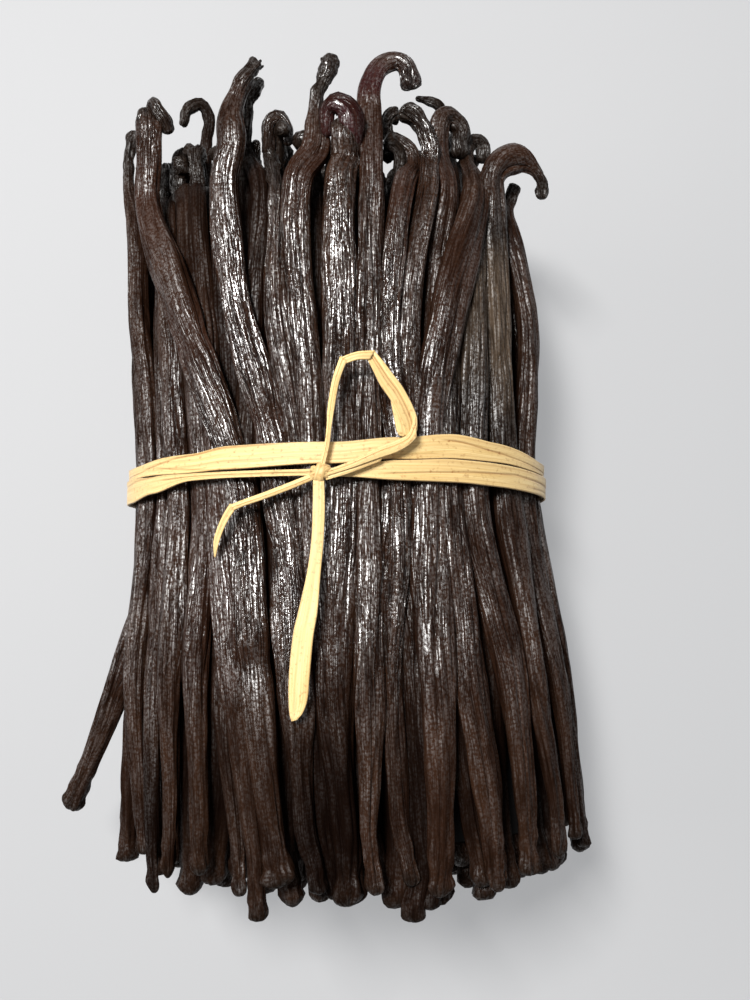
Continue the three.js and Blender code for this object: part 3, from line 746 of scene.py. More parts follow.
@dataclass(frozen=True)
class PackingRule:
    """How the pods that aren't told apart are laid: round the sides and underside, and in rings inside."""

    hidden_start: int = 173
    hidden_end: int = 367
    hidden_count: int = 19
    first_hidden: int = 100
    first_inner: int = 200
    ring_room: int = 40
    drift: float = 5.0
    body_width: float = 8.8
    width_scatter: float = 1.4
    body_thick: float = 5.2
    inner_width: float = 10.6
    inner_thick: float = 7.2
    crown_y: float = 61.0
    butt_y: float = -84.5
    inner_butt_y: float = -87.0
    end_scatter: float = 6.0
    stem_reach: float = 10.0
    curl_radius: float = 3.4
    curl_steps: int = 3
    curl_sweep: tuple[float, float] = (40.0, 160.0)
    crown_tuck: float = 6.0
    tuck_side: tuple[float, float] = (0.3, 0.95)
    early_tuck: float = 0.15
    stem_width: Scatter = Scatter(2.6, 1.2)
    neck_length: Scatter = Scatter(7.0, 5.0)
    shoulder: Scatter = Scatter(14.0, 12.0)
    rust_places: tuple[float, float] = (-60.0, 70.0)
    rust_reach: float = 16.0
    rust_most: float = 0.7
    matte: Scatter = Scatter(0.35, 0.5)
    ring_pitch: float = 5.2
    ring_spacing: float = 7.3
    inner_rings: int = 7

    def pod(self, index: int, turn: float, lift: float) -> Pod:
        """A pod laid by the rule.

        Args:
            index: Number that seeds the pod's draws.
            turn: Degrees round the bundle.
            lift: Millimetres out of the outline.

        Returns:
            The pod.
        """
        drift = (draw(index, Salt.DRIFT) - 0.5) * self.drift
        tuck = self.crown_tuck * smoothstep(*self.tuck_side, math.cos(math.radians(turn)))
        crown_y = self.crown_y + (draw(index, Salt.CROWN) - 0.5) * self.end_scatter
        butt = self.inner_butt_y if lift < 0 else self.butt_y
        butt += (draw(index, Salt.BUTT) - 0.5) * self.end_scatter
        root = OUTLINE.point(turn + drift, crown_y, lift - tuck - PLUMP * self.body_thick / 2)
        stem = self._curl(index, root + Vector((0, self.stem_reach, 0)))
        width = self.body_width if lift == 0 else self.inner_width
        return Pod(
            turn=(turn - drift, turn - drift / 2, turn, turn + drift / 2, turn + drift),
            lift=(lift, lift, lift, lift - tuck * self.early_tuck, lift - tuck),
            width=width - self.width_scatter * draw(index, Salt.WIDTH),
            thick=self.body_thick if lift == 0 else self.inner_thick,
            butt=butt,
            stem=stem,
            neck=Neck(
                self.stem_width.at(draw(index, Salt.STEM)),
                self.neck_length.at(draw(index, Salt.NECK)),
                self.shoulder.at(draw(index, Salt.SHOULDER)),
            ),
            rust=(
                Patch(
                    mix(*self.rust_places, draw(index, Salt.RUST_PLACE)),
                    self.rust_reach,
                    self.rust_most * draw(index, Salt.RUST_AMOUNT),
                ),
            ),
            matte=self.matte.at(draw(index, Salt.MATTE)),
        )

    def _curl(self, index: int, root: Vector) -> tuple[Point3, ...]:
        """The curled stem of a pod.

        Args:
            index: Number that seeds the pod's draws.
            root: Where the curl starts.

        Returns:
            Points along the stem.
        """
        heading = draw(index, Salt.CURL_TURN) * math.tau
        sweep = math.radians(mix(*self.curl_sweep, draw(index, Salt.CURL_SWEEP)))
        side = Vector((math.cos(heading), 0, math.sin(heading)))
        stem = [tuple(root)]
        for k in range(1, self.curl_steps + 1):
            bent = sweep * k / self.curl_steps
            ahead = Vector((0, self.curl_radius * math.sin(bent), 0))
            stem.append(tuple(root + (side * (self.curl_radius * (1 - math.cos(bent))) + ahead)))
        return tuple(stem)

    def side_pods(self) -> list[Pod]:
        """The pods round the left side, under the bundle and up the right side."""
        turns = OUTLINE.even_turns(self.hidden_start, self.hidden_end, self.hidden_count)
        return [self.pod(self.first_hidden + k, turn, 0.0) for k, turn in enumerate(turns)]

    def ring(self, number: int) -> list[Pod]:
        """The pods of one packed ring.

        Args:
            number: 1 for the ring just under the outer pods, more further in.

        Returns:
            The pods.
        """
        lift = -self.ring_pitch * number
        wide = OUTLINE.waist_half_width + lift
        deep = OUTLINE.waist_half_depth + lift
        around = math.pi * (3 * (wide + deep) - math.sqrt((3 * wide + deep) * (wide + 3 * deep)))
        count = round(around / self.ring_spacing)
        first = self.first_inner + number * self.ring_room
        start = round(180.0 / count) if number % 2 else 0
        turns = OUTLINE.even_turns(start, start + 360, count + 1)[:count]
        return [self.pod(first + k, turn, lift) for k, turn in enumerate(turns)]


class PodPart(Enum):
    """Which stretch of a pod is modelled."""

    WHOLE = "whole"
    BUTT_END = "blunt end"
    STEM_END = "stem end"


@dataclass(frozen=True)
class PodDetail:
    """How finely a pod is modelled."""

    columns: int
    body_rows: int
    end_rows: int


@dataclass(frozen=True)
class SkinNoise:
    """A noise over a pod's skin: how fast it changes round the pod and along it, and its place in it."""

    around: float
    along: float
    shift: int = 1

    def at(self, ring: Vector, along: Vector, home: Vector, finer: float = 1.0) -> float:
        """The noise at a place of the skin.

        Args:
            ring: Direction out of the pod.
            along: Distance along the pod.
            home: Where in the noise the pod lies.
            finer: How much finer it is round the pod.

        Returns:
            About -0.5 to 0.5, seldom more.
        """
        return noise.noise(ring * (self.around * finer) + along * self.along + home * self.shift)


@dataclass(frozen=True)
class SlowNoise:
    """A noise that changes along a pod only: how far apart pods lie in it, its speed and its lane."""

    stride: float
    along: float
    lane: float

    def place(self, seed: float, distance: float) -> Vector:
        """Where in the noise a pod is at a distance along it."""
        return Vector((seed * self.stride, distance * self.along, self.lane))


@dataclass(frozen=True)
class RingWearAndShade:
    """How deep a ring of a pod lies in the pack, which sets its painted shade, and what it has been through,
    each 0 to 1.
    """

    sunk: float
    blunt: float
    stem: float
    dry: float


@dataclass
class PodModeller:
    """Turns a pod into a closed, wrinkled tube. Millimetres.

    Each vertex's tint tells the finish: red is the hue (0 black, 0.5 plain, 0.8 rust, 1 maroon), whose black
    side also carries painted shade, green how matte the skin is, blue how dry (see STEM_DRYNESS), and alpha
    the place of the pod in the noise.
    """

    SEED_STEPS = 1000  # seeds that the draws of a blunt end tell apart
    SKIN_STRIDES = (37.0, 11.0, 53.0)  # how far apart pods lie in the noise of their wrinkles
    LUMP_STRIDES = (17.0, 43.0)  # the same for their lumps

    butt_taper: float = 50.0
    butt_scale: tuple[float, float] = (0.46, 0.72)
    butt_dome: tuple[float, float] = (1.0, 5.0)
    butt_knob: float = 0.42
    butt_knob_at: float = 1.5
    butt_knob_reach: float = 2.4
    butt_crook: float = 2.4
    butt_crook_reach: float = 14.0
    butt_crowding: float = 1.6
    tip_dome: float = 1.2
    tip_dome_share: float = 0.42
    tip_knob_reach: float = 1.9
    tip_crowding: float = 1.35
    tip_finer: int = 2
    stem_flatness: float = 0.92
    end_stretch: float = 12.0
    stub_length: float = 16.0
    stub_tip: float = 14.0
    crown_overlap: float = 6.0
    slim: float = 0.84
    crown_slim: float = 0.84
    crown_slim_from: float = 12.0
    ridge_pitch: float = 1.5
    ridge_depth: float = 0.34
    ridge_strength: Scatter = Scatter(0.5, 0.7)
    ridge_strong_from: tuple[float, float] = (-0.35, 0.4)
    ridge_cap: float = 0.5
    ridge_weights: tuple[float, float] = (1.5, 0.7)
    ridge_level: float = 0.45
    fold_depth: float = 0.3
    furrow_width: float = 0.09
    furrow_depth: float = 0.55
    strong_skin: SkinNoise = SkinNoise(0.8, 0.05)
    ridges: SkinNoise = SkinNoise(1.4, 0.05)
    fine_ridges: SkinNoise = SkinNoise(2.9, 0.1, 2)
    folds: SkinNoise = SkinNoise(1.0, 0.03, 3)
    furrows: SkinNoise = SkinNoise(0.9, 0.012, 4)
    coarse_folds: SkinNoise = SkinNoise(1.9, 0.11, 5)
    full_relief_radius: float = 1.4
    lump: float = 0.5
    lump_around: float = 0.9
    lump_stretch: float = 0.4
    butt_lumps: tuple[float, float] = (3.0, 16.0)
    butt_lump_share: float = 0.7
    smooth_skin: float = 0.6
    coarse_fold: float = 0.42
    wander: float = 0.85
    wander_depth: float = 0.6
    wander_noise: SlowNoise = SlowNoise(91.0, 0.035, 3.0)
    depth_noise: SlowNoise = SlowNoise(91.0, 0.035, 13.0)
    swell: float = 0.2
    swell_noise: SlowNoise = SlowNoise(71.0, 0.07, 9.0)
    twist: float = 28.0
    twist_noise: SlowNoise = SlowNoise(31.0, 0.02, 5.0)
    still_ends: tuple[float, float] = (0.0, 6.0)
    pinch_depth: float = 0.16
    pinch_reach: float = 3.2
    front_crowding: float = 0.55
    least_radius: float = 1.0
    least_half: float = 0.3
    floor_gap: float = 0.02
    matte_end: tuple[float, float] = (-66.0, -38.0)
    blunt_matte: float = 0.35
    blunt_shade: float = 0.14
    # Painted shade of the pods that lie deep in the pack: how deep counts, how much duller and blacker they
    # get, and how far from their ends it fades in.
    sunk_depth: tuple[float, float] = (1.0, 4.5)
    sunk_matte: float = 0.4
    sunk_shade: float = 0.36
    open_end: tuple[float, float] = (3.0, 16.0)
    woody_length: float = 0.6
    woody_shoulder: float = 0.45
    woody_butt: float = 0.8
    woody_butt_reach: tuple[float, float] = (0.5, 4.0)
    weathered_from: tuple[float, float] = (-15.0, 35.0)
    weathered_to: tuple[float, float] = (42.0, 68.0)

    def sizes(
        self, pod: Pod, seed: float, y: float, from_butt: float, from_tip: float
    ) -> tuple[float, float]:
        """Half width and half thickness of a pod.

        Args:
            pod: The pod.
            seed: Place of the pod in the noise, 0 to 1.
            y: Station along the bundle.
            from_butt: Millimetres from the blunt end.
            from_tip: Millimetres from the end of the stem.

        Returns:
            Half width and half thickness.
        """
        neck = pod.neck
        stem = neck.stem / pod.width
        full = self.slim * mix(mix(*self.butt_scale, seed), 1.0, smoothstep(0.0, self.butt_taper, from_butt))
        full *= mix(1.0, self.crown_slim, smoothstep(self.crown_slim_from, CROWN_STATION, y))
        body = mix(stem, full, smoothstep(neck.length, neck.length + neck.shoulder, from_tip))
        blunt_dome = mix(*self.butt_dome, self._own_draw(seed, BluntSalt.DOME) ** 2)
        knob = self.butt_knob * self._own_draw(seed, BluntSalt.KNOB)
        body *= 1 + knob * bell(from_butt - self.butt_knob_at, self.butt_knob_reach)
        body *= 1 + neck.knob * bell(from_tip - self.tip_dome, self.tip_knob_reach)
        half_width = body * pod.width / 2
        half_thick = max(body * PLUMP * pod.thick / 2, min(neck.stem / 2, half_width) * self.stem_flatness)
        tip_dome = max(self.tip_dome, self.tip_dome_share * neck.stem)
        dome = rounded_end(from_butt, blunt_dome) * rounded_end(from_tip, tip_dome)
        return half_width * dome, half_thick * dome

    def _own_draw(self, seed: float, salt: BluntSalt) -> float:
        """Repeatable draw for the pod that has a seed."""
        return draw(round(seed * self.SEED_STEPS), salt)

    def distances(self, length: float, part: PodPart, detail: PodDetail) -> list[float]:
        """Where the rings lie, close together at the ends.

        Args:
            length: Length of the pod's path.
            part: Stretch that is modelled.
            detail: How finely.

        Returns:
            Distances from the blunt end.
        """
        start = 0.0 if part is not PodPart.STEM_END else length - self.stub_length - self.stub_tip
        end = length if part is not PodPart.BUTT_END else self.stub_length
        stops = []
        if part is not PodPart.STEM_END:
            shares = [k / detail.end_rows for k in range(detail.end_rows)]
            stops += [self.end_stretch * share**self.butt_crowding for share in shares]
            start = self.end_stretch
        tip_rows = detail.end_rows * self.tip_finer if part is not PodPart.BUTT_END else 0
        tip_start = end - self.end_stretch * self.tip_finer if tip_rows else end
        stops += [mix(start, tip_start, k / detail.body_rows) for k in range(detail.body_rows)]
        stops += [mix(tip_start, end, 1 - (1 - k / tip_rows) ** self.tip_crowding) for k in range(tip_rows)]
        return [*stops, end]

    def relief(self, around: float, distance: float, radius: float, seed: float, blunt: float) -> float:
        """Height of the lengthwise wrinkles and folds over the smooth section.

        Args:
            around: Angle round the pod, 0 outwards.
            distance: Millimetres from the blunt end.
            radius: Mean radius of the section.
            seed: Where in the noise the pod lies.
            blunt: How far into the smoother blunt third, 0 to 1.

        Returns:
            Millimetres out of the section.
        """
        place = (
            Vector((math.cos(around), math.sin(around), 0)),
            Vector((0, 0, distance)),
            Vector([seed * stride for stride in self.SKIN_STRIDES]),
        )
        finer = radius / self.ridge_pitch
        strength = self.ridge_strength.at(smoothstep(*self.ridge_strong_from, self.strong_skin.at(*place)))
        ridge = min(abs(self.ridges.at(*place, finer)), self.ridge_cap)
        fine = min(abs(self.fine_ridges.at(*place, finer)), self.ridge_cap)
        wrinkle = self.ridge_weights[0] * ridge + self.ridge_weights[1] * fine - self.ridge_level
        fold = self.folds.at(*place) - self.furrow_depth * bell(self.furrows.at(*place), self.furrow_width)
        wrinkles = self.ridge_depth * strength * wrinkle * (1 - self.smooth_skin * blunt)
        coarse = self.coarse_fold * blunt * self.coarse_folds.at(*place)
        return wrinkles + coarse + self.fold_depth * radius * fold

    def add(self, maker: MeshMaker, pod: Pod, seed: float, part: PodPart, detail: PodDetail) -> None:
        """Adds a pod to a mesh.

        Args:
            maker: The mesh that the pod joins.
            pod: The pod.
            seed: Place of the pod in the noise, 0 to 1.
            part: Stretch that is modelled.
            detail: How finely.
        """
        path = pod.path()
        length = path.length
        tip_length = length - (CROWN_STATION - pod.butt) + self.crown_overlap
        rings = transported_rings(
            path,
            self.distances(length, part, detail),
            OUTLINE.outward(path.at(0)),
            lambda distance: distance < length - tip_length,
            lambda distance: self.sizes(pod, seed, path.at(distance).y, distance, length - distance),
        )
        if part is PodPart.BUTT_END:
            rings[-1].half_width = rings[-1].half_thick = 0.0
        if part is PodPart.STEM_END:
            rings[0].half_width = rings[0].half_thick = 0.0
        table = [self._row(pod, ring, length, seed, detail.columns) for ring in rings]
        maker.roll(detail.columns, len(rings) - 1, lambda row, column: table[row][column], (1.0, length))

    def _row(
        self, pod: Pod, ring: Ring, length: float, seed: float, columns: int
    ) -> list[tuple[Vector, Tint]]:
        """Points and tints of one ring of a pod.

        Args:
            pod: The pod.
            ring: The smooth section that is wrinkled.
            length: Length of the pod's path.
            seed: Place of the pod in the noise, 0 to 1.
            columns: Faces round the pod.

        Returns:
            Point and tint of each vertex; the first and the last are at one place.
        """
        from_end = min(ring.distance, length - ring.distance)
        radius = (ring.half_width + ring.half_thick) / 2
        body = smoothstep(*self.still_ends, from_end)
        sideways = self.wander * noise.noise(self.wander_noise.place(seed, ring.distance))
        outwards = self.wander * noise.noise(self.depth_noise.place(seed, ring.distance))
        swell = 1 + self.swell * noise.noise(self.swell_noise.place(seed, ring.distance))
        roll = math.radians(self.twist) * noise.noise(self.twist_noise.place(seed, ring.distance))
        pinch = sum(self.pinch_depth * bell(ring.at.y - y, self.pinch_reach) for y in pod.pinches)
        centre = ring.at + (ring.across * sideways + ring.out * outwards * self.wander_depth) * body
        crook = self.butt_crook * (1 - smoothstep(0.0, self.butt_crook_reach, ring.distance))
        centre += ring.across * (crook * (2 * self._own_draw(seed, BluntSalt.CROOK) - 1))
        wide = ring.half_width * (1 + (swell - 1) * body) * (1 - pinch)
        thick = ring.half_thick * (1 - pinch)
        wear_and_shade = self._wear_and_shade(pod, ring, length)
        tint = self._tint(pod, ring, wear_and_shade, seed)
        lumpy = max(wear_and_shade.stem, self.butt_lump_share * (1 - smoothstep(*self.butt_lumps, ring.distance)))
        fade = min(radius / self.full_relief_radius, 1.0)
        home = Vector((*(seed * stride for stride in self.LUMP_STRIDES), ring.distance * self.lump_stretch))
        points = []
        for column in range(columns + 1):
            share = 2.0 * column / columns - 1.0
            around = math.pi * (self.front_crowding * share + (1 - self.front_crowding) * share**3)
            angle = around + roll * body
            rise = 0.0
            if radius > 0:
                full = max(radius, self.least_radius)
                rise = self.relief(around, ring.distance, full, seed, wear_and_shade.blunt) * fade
            rim = Vector((math.cos(around), math.sin(around), 0))
            rise += self.lump * radius * lumpy * noise.noise(home + rim * self.lump_around)
            sine, cosine = math.sin(angle), math.cos(angle)
            least = self.least_half
            normal = Vector((sine / max(wide, least), cosine / max(thick, least))).normalized()
            across = ring.across * (wide * sine + rise * normal.x)
            point = centre + across + ring.out * (thick * cosine + rise * normal.y)
            point.z = max(point.z, self.floor_gap)
            points.append((point, tint))
        return points

    def _wear_and_shade(self, pod: Pod, ring: Ring, length: float) -> RingWearAndShade:
        """How sunk, blunt, stem-like and dry a pod is at a ring; how sunk it is sets its painted shade.

        Args:
            pod: The pod.
            ring: The ring.
            length: Length of the pod's path.

        Returns:
            The four.
        """
        from_tip = length - ring.distance
        neck = pod.neck
        # How deep the pod lies in the pack, faded near its ends: the strength of its painted shade.
        sunk = smoothstep(*self.sunk_depth, -pod.lift_at(ring.at.y))
        sunk *= smoothstep(*self.open_end, min(ring.distance, from_tip))
        woody_to = neck.length + neck.shoulder * self.woody_shoulder
        stem = max(
            1 - smoothstep(neck.length * self.woody_length, woody_to, from_tip),
            self.woody_butt * (1 - smoothstep(*self.woody_butt_reach, ring.distance)),
        )
        faded = smoothstep(*self.weathered_from, ring.at.y) * (1 - smoothstep(*self.weathered_to, ring.at.y))
        dry = max(STEM_DRYNESS * stem, pod.weathered * faded)
        return RingWearAndShade(sunk, 1 - smoothstep(*self.matte_end, ring.at.y), stem, dry)

    def _tint(self, pod: Pod, ring: Ring, wear_and_shade: RingWearAndShade, seed: float) -> Tint:
        """What the vertices of a ring tell the finish.

        Args:
            pod: The pod.
            ring: The ring.
            wear_and_shade: Its wear.
            seed: Place of the pod in the noise, 0 to 1.

        Returns:
            Hue, how matte, how dry, and the seed.
        """
        hue = PLAIN_HUE + HUE_SPAN * sum(p.amount * bell(ring.at.y - p.y, p.reach) for p in pod.rust)
        # Painted shade: blacker and duller where the pod lies deep in the pack. Blacker and more matte
        # towards the blunt ends as well.
        hue -= self.sunk_shade * wear_and_shade.sunk + self.blunt_shade * wear_and_shade.blunt
        matte = pod.matte - sum(p.amount * bell(ring.at.y - p.y, p.reach) for p in pod.shine)
        matte += self.sunk_matte * wear_and_shade.sunk + self.blunt_matte * wear_and_shade.blunt
        return (min(max(hue, 0.0), 1.0), min(max(matte, 0.0), 1.0), wear_and_shade.dry, seed)


@dataclass
class StemEndModeller:
    """Turns a short end that folds over or swells out of a stem into a closed, rough tube. Millimetres."""

    ROUGH_STRIDE = 60.0  # how far apart ends lie in the noise of their lumps
    FINE_STRIDE = 90.0  # the same for their wrinkles

    rows: int = 26
    columns: int = 24
    root_dome: float = 0.6
    tip_dome: float = 1.2
    flatness: float = 0.9
    crowding: float = 1.5
    rough: float = 0.3
    rough_around: float = 1.1
    rough_along: float = 0.5
    fine: float = 0.22
    fine_level: float = 0.25
    fine_around: float = 3.2
    fine_along: float = 0.12
    matte: float = 0.2
    uv_around: float = 0.6

    def add(self, maker: MeshMaker, points: Sequence[EndPoint], red: float, seed: float) -> None:
        """Adds a short end of a stem to a mesh.

        Args:
            maker: The mesh that the end joins.
            points: Rows of x, y, z and diameter along it.
            red: How red it is, 0 to 1.
            seed: Place of the end in the noise, 0 to 1.
        """
        path = SmoothPath([Vector(p[:3]) for p in points])
        stops = [path.length * (1 - (1 - k / self.rows) ** self.crowding) for k in range(self.rows + 1)]

        def size(distance: float) -> tuple[float, float]:
            """Half width and half thickness, domed at both ends.

            Args:
                distance: Millimetres from the root.

            Returns:
                Half width and half thickness.
            """
            span = path.span(distance)
            k = min(int(span), len(points) - 2)
            radius = mix(points[k][3], points[k + 1][3], span - k) / 2
            tip = rounded_end(path.length - distance, min(self.tip_dome, radius))
            radius *= tip * rounded_end(distance, self.root_dome)
            return radius, radius * self.flatness

        rings = transported_rings(path, stops, OUTLINE.outward(path.at(0)), lambda distance: False, size)
        tint = (PLAIN_HUE + HUE_SPAN * red, self.matte, STEM_DRYNESS * (1.0 - red), seed)

        def place(row: int, column: int) -> tuple[Vector, Tint]:
            """Point of the end.

            Args:
                row: Row along the end.
                column: Column round it.

            Returns:
                Point and tint.
            """
            ring = rings[row]
            around = math.tau * (column % self.columns) / self.columns
            rim = Vector((math.sin(around), math.cos(around), 0))
            lumps = Vector((0, seed * self.ROUGH_STRIDE, ring.distance * self.rough_along))
            lines = Vector((0, seed * self.FINE_STRIDE, ring.distance * self.fine_along))
            rough = noise.noise(rim * self.rough_around + lumps)
            fine = abs(noise.noise(rim * self.fine_around + lines))
            grow = 1 + self.rough * rough + self.fine * (fine - self.fine_level)
            across = ring.across * (rim.x * ring.half_width * grow)
            return ring.at + across + ring.out * (rim.y * ring.half_thick * grow), tint

        maker.roll(self.columns, self.rows, place, (self.uv_around, path.length))


# ---- Finishes ----


def add_node(
    tree: Tree,
    kind: str,
    settings: dict[str | int, Any] | None = None,
    links: dict[str | int, Source] | None = None,
) -> bpy.types.Node:
    """Adds a node with its settings and links.

    Args:
        tree: Node tree that the node joins.
        kind: Blender's name for the node type, without "ShaderNode".
        settings: Properties of the node, or values of its input sockets by name or number.
        links: What feeds its inputs, by name or number: output sockets, or nodes for their first output.

    Returns:
        The node.
    """
    node = tree.nodes.new(f"ShaderNode{kind}")
    for key, value in (settings or {}).items():
        if isinstance(key, str) and hasattr(node, key):
            setattr(node, key, value)
        else:
            node.inputs[key].default_value = value
    for key, source in (links or {}).items():
        tree.links.new(source.outputs[0] if isinstance(source, bpy.types.Node) else source, node.inputs[key])
    return node


def new_material(name: str) -> tuple[bpy.types.Material, Tree]:
    """An empty node material.

    Args:
        name: Its name.

    Returns:
        The material and its tree.
    """
    material = bpy.data.materials.new(name)
    material.use_nodes = True
    material.node_tree.nodes.clear()
    return material, material.node_tree


def ramp(node: bpy.types.Node, stops: Sequence[tuple[float, Tint]]) -> None:
    """Sets the stops of a colour ramp.

    Args:
        node: The ramp node.
        stops: Places and colours, in order.
    """
    elements = node.color_ramp.elements
    while len(elements) < len(stops):
        elements.new(0.5)
    for element, (place, colour) in zip(elements, stops):
        element.position = place
        element.color = colour


def grey(level: float) -> Tint:
    """Grey of a level from 0, black, to 1, white."""
    return (level, level, level, 1.0)


@dataclass(frozen=True)
class CuredVanilla:
    """Cured vanilla pod: a sweated and sun-dried seed pod, shrunk into lengthwise wrinkles.

    Vanilla oils work out to its skin, so it shines like oiled leather, with bright lines along the wrinkles.
    The wrinkles and the grain are drawn coarser than the real ones, which are too fine to show.
    """

    # deep is the painted shade colour of the creases and of pods deep in the pack; darker blunt ends and
    # blacker stretches take it too.
    deep: str = "#080403"
    body: str = "#25160e"
    warm: str = "#3a2518"
    rust: str = "#2e1a11"
    maroon: str = "#2c1113"
    dry: str = "#1e1813"
    weathered: str = "#5a4c3e"
    wrinkle_mm: float = 0.95
    wrinkle_stretch: float = 0.115
    grain_mm: float = 0.55
    patch_mm: float = 7.0
    patch_stretch: float = 5.0
    bump_mm: float = 0.24
    skin_radius_mm: float = 3.6
    seed_shift_mm: float = 400.0
    crease_stops: tuple[tuple[float, float], ...] = (
        (0.36, 1.0), (0.45, 0.6), (0.5, 0.0), (0.55, 0.6), (0.64, 1.0),
    )
    matte_evenness: float = 0.65
    even_crease: float = 0.7
    matte_roughness: float = 0.4
    dry_roughness: float = 0.14
    crease_roughness: float = 0.4

    def build(self) -> bpy.types.Material:
        """Makes the material.

        Returns:
            The material.
        """
        material, tree = new_material("oily_cured_vanilla_skin")
        tint = add_node(tree, "VertexColor", {"layer_name": "tint"})
        parts = add_node(tree, "SeparateColor", links={0: tint})
        hue, matte, dry = (parts.outputs[k] for k in range(3))
        surface = self._surface(tree, tint.outputs["Alpha"])
        wrinkles = add_node(
            tree, "TexNoise",
            {"Scale": 1.0 / self.wrinkle_mm, "Detail": 1.5, "Roughness": 0.5, "Distortion": 0.25},
            {"Vector": surface},
        )
        # Black where the noise crosses its middle, which draws one thin line along each wrinkle.
        crease = add_node(tree, "ValToRGB", links={0: wrinkles})
        ramp(crease, [(place, grey(level)) for place, level in self.crease_stops])
        place = add_node(tree, "TexCoord")
        grain = add_node(
            tree, "TexNoise", {"Scale": 1000.0 / self.grain_mm, "Detail": 1.0},
            {"Vector": place.outputs["Object"]},
        )
        patches = add_node(tree, "Mapping", {"Scale": (1.0, 1.0, self.patch_stretch)}, {"Vector": surface})
        blotch = add_node(
            tree, "TexNoise", {"Scale": 1.0 / self.patch_mm, "Detail": 2.5, "Roughness": 0.65},
            {"Vector": patches},
        )
        # A matte skin is more even in colour: the painted shade in its creases is lighter, its ridges less
        # brown.
        soft = add_node(tree, "Math", {"operation": "MULTIPLY", 1: self.matte_evenness}, {0: matte})
        furrow = add_node(tree, "Mix", {"data_type": "FLOAT", 3: self.even_crease}, {0: soft, 2: crease})
        colour = self._colour(tree, furrow, blotch, hue, dry)
        roughness = self._roughness(tree, blotch, crease, matte, dry)
        # Wrinkles with a little grain on them, both lower on a matte skin.
        coarse = add_node(tree, "MapRange", {"To Min": 0.18, "To Max": 0.22}, {0: matte})
        height = add_node(tree, "Mix", {"data_type": "FLOAT"}, {0: coarse, 2: crease, 3: grain})
        relief = add_node(tree, "MapRange", {"To Min": 1.0, "To Max": 0.34}, {0: matte})
        bump = add_node(tree, "Bump", {"Distance": self.bump_mm * MM}, {"Height": height, "Strength": relief})
        # Oil shines on the ridges, in beads and in larger patches, and little on matte skin; in the creases
        # and on skin blackened by the hue it is dimmed as painted shade.
        crease_shaded_shine = add_node(tree, "MapRange", {"To Min": 0.02, "To Max": 1.1}, {0: crease})
        beads = add_node(
            tree, "MapRange", {"From Min": 0.4, "From Max": 0.6, "To Min": 0.15, "To Max": 1.25}, {0: grain}
        )
        oil = add_node(
            tree, "MapRange", {"From Min": 0.34, "From Max": 0.62, "To Min": 0.18, "To Max": 1.3}, {0: blotch}
        )
        dulled = add_node(tree, "MapRange", {"To Min": 1.5, "To Max": 0.3}, {0: matte})
        shade_dimming = add_node(
            tree, "MapRange", {"From Min": 0.0, "From Max": PLAIN_HUE, "To Min": 0.3, "To Max": 1.0}, {0: hue}
        )
        matte_and_shade_dimming = add_node(tree, "Math", {"operation": "MULTIPLY"}, {0: dulled, 1: shade_dimming})
        shine = crease_shaded_shine
        for part in (beads, oil, matte_and_shade_dimming):
            shine = add_node(tree, "Math", {"operation": "MULTIPLY"}, {0: shine, 1: part})
        skin = add_node(
            tree, "BsdfPrincipled", {"IOR": 1.5},
            {"Base Color": colour, "Roughness": roughness, "Normal": bump, "Specular IOR Level": shine},
        )
        add_node(tree, "OutputMaterial", links={"Surface": skin})
        return material

    def _surface(self, tree: Tree, seed: Source) -> Source:
        """Seamless coordinates in millimetres: round the pod in X and Y, along it, squeezed, in Z.

        Args:
            tree: Node tree of the material.
            seed: Place of the pod in the noise.

        Returns:
            The coordinates.
        """
        uv = add_node(tree, "UVMap", {"uv_map": "surface"})
        split = add_node(tree, "SeparateXYZ", links={0: uv})
        angle = add_node(tree, "Math", {"operation": "MULTIPLY", 1: math.tau}, {0: split.outputs["X"]})
        around = []
        for wave in ("COSINE", "SINE"):
            unit = add_node(tree, "Math", {"operation": wave}, {0: angle})
            sized = {"operation": "MULTIPLY", 1: self.skin_radius_mm}
            around.append(add_node(tree, "Math", sized, {0: unit}))
        along = add_node(
            tree, "Math", {"operation": "MULTIPLY", 1: self.wrinkle_stretch}, {0: split.outputs["Y"]}
        )
        shift = add_node(
            tree, "Math", {"operation": "MULTIPLY_ADD", 1: self.seed_shift_mm}, {0: seed, 2: along}
        )
        return add_node(tree, "CombineXYZ", links={0: around[0], 1: around[1], 2: shift})

    def _colour(self, tree: Tree, crease: Source, blotch: Source, hue: Source, dry: Source) -> Source:
        """Colour of the skin: painted shade in the creases, red or black in patches, painted shade on pods
        deep in the pack, greyer where it is dry.

        Args:
            tree: Node tree of the material.
            crease: 0 in a crease, 1 on a ridge.
            blotch: Slow noise that makes patches.
            hue: 0 black, 0.5 plain, 0.8 rust, 1 maroon.
            dry: Dryness, see STEM_DRYNESS.

        Returns:
            The colour.
        """
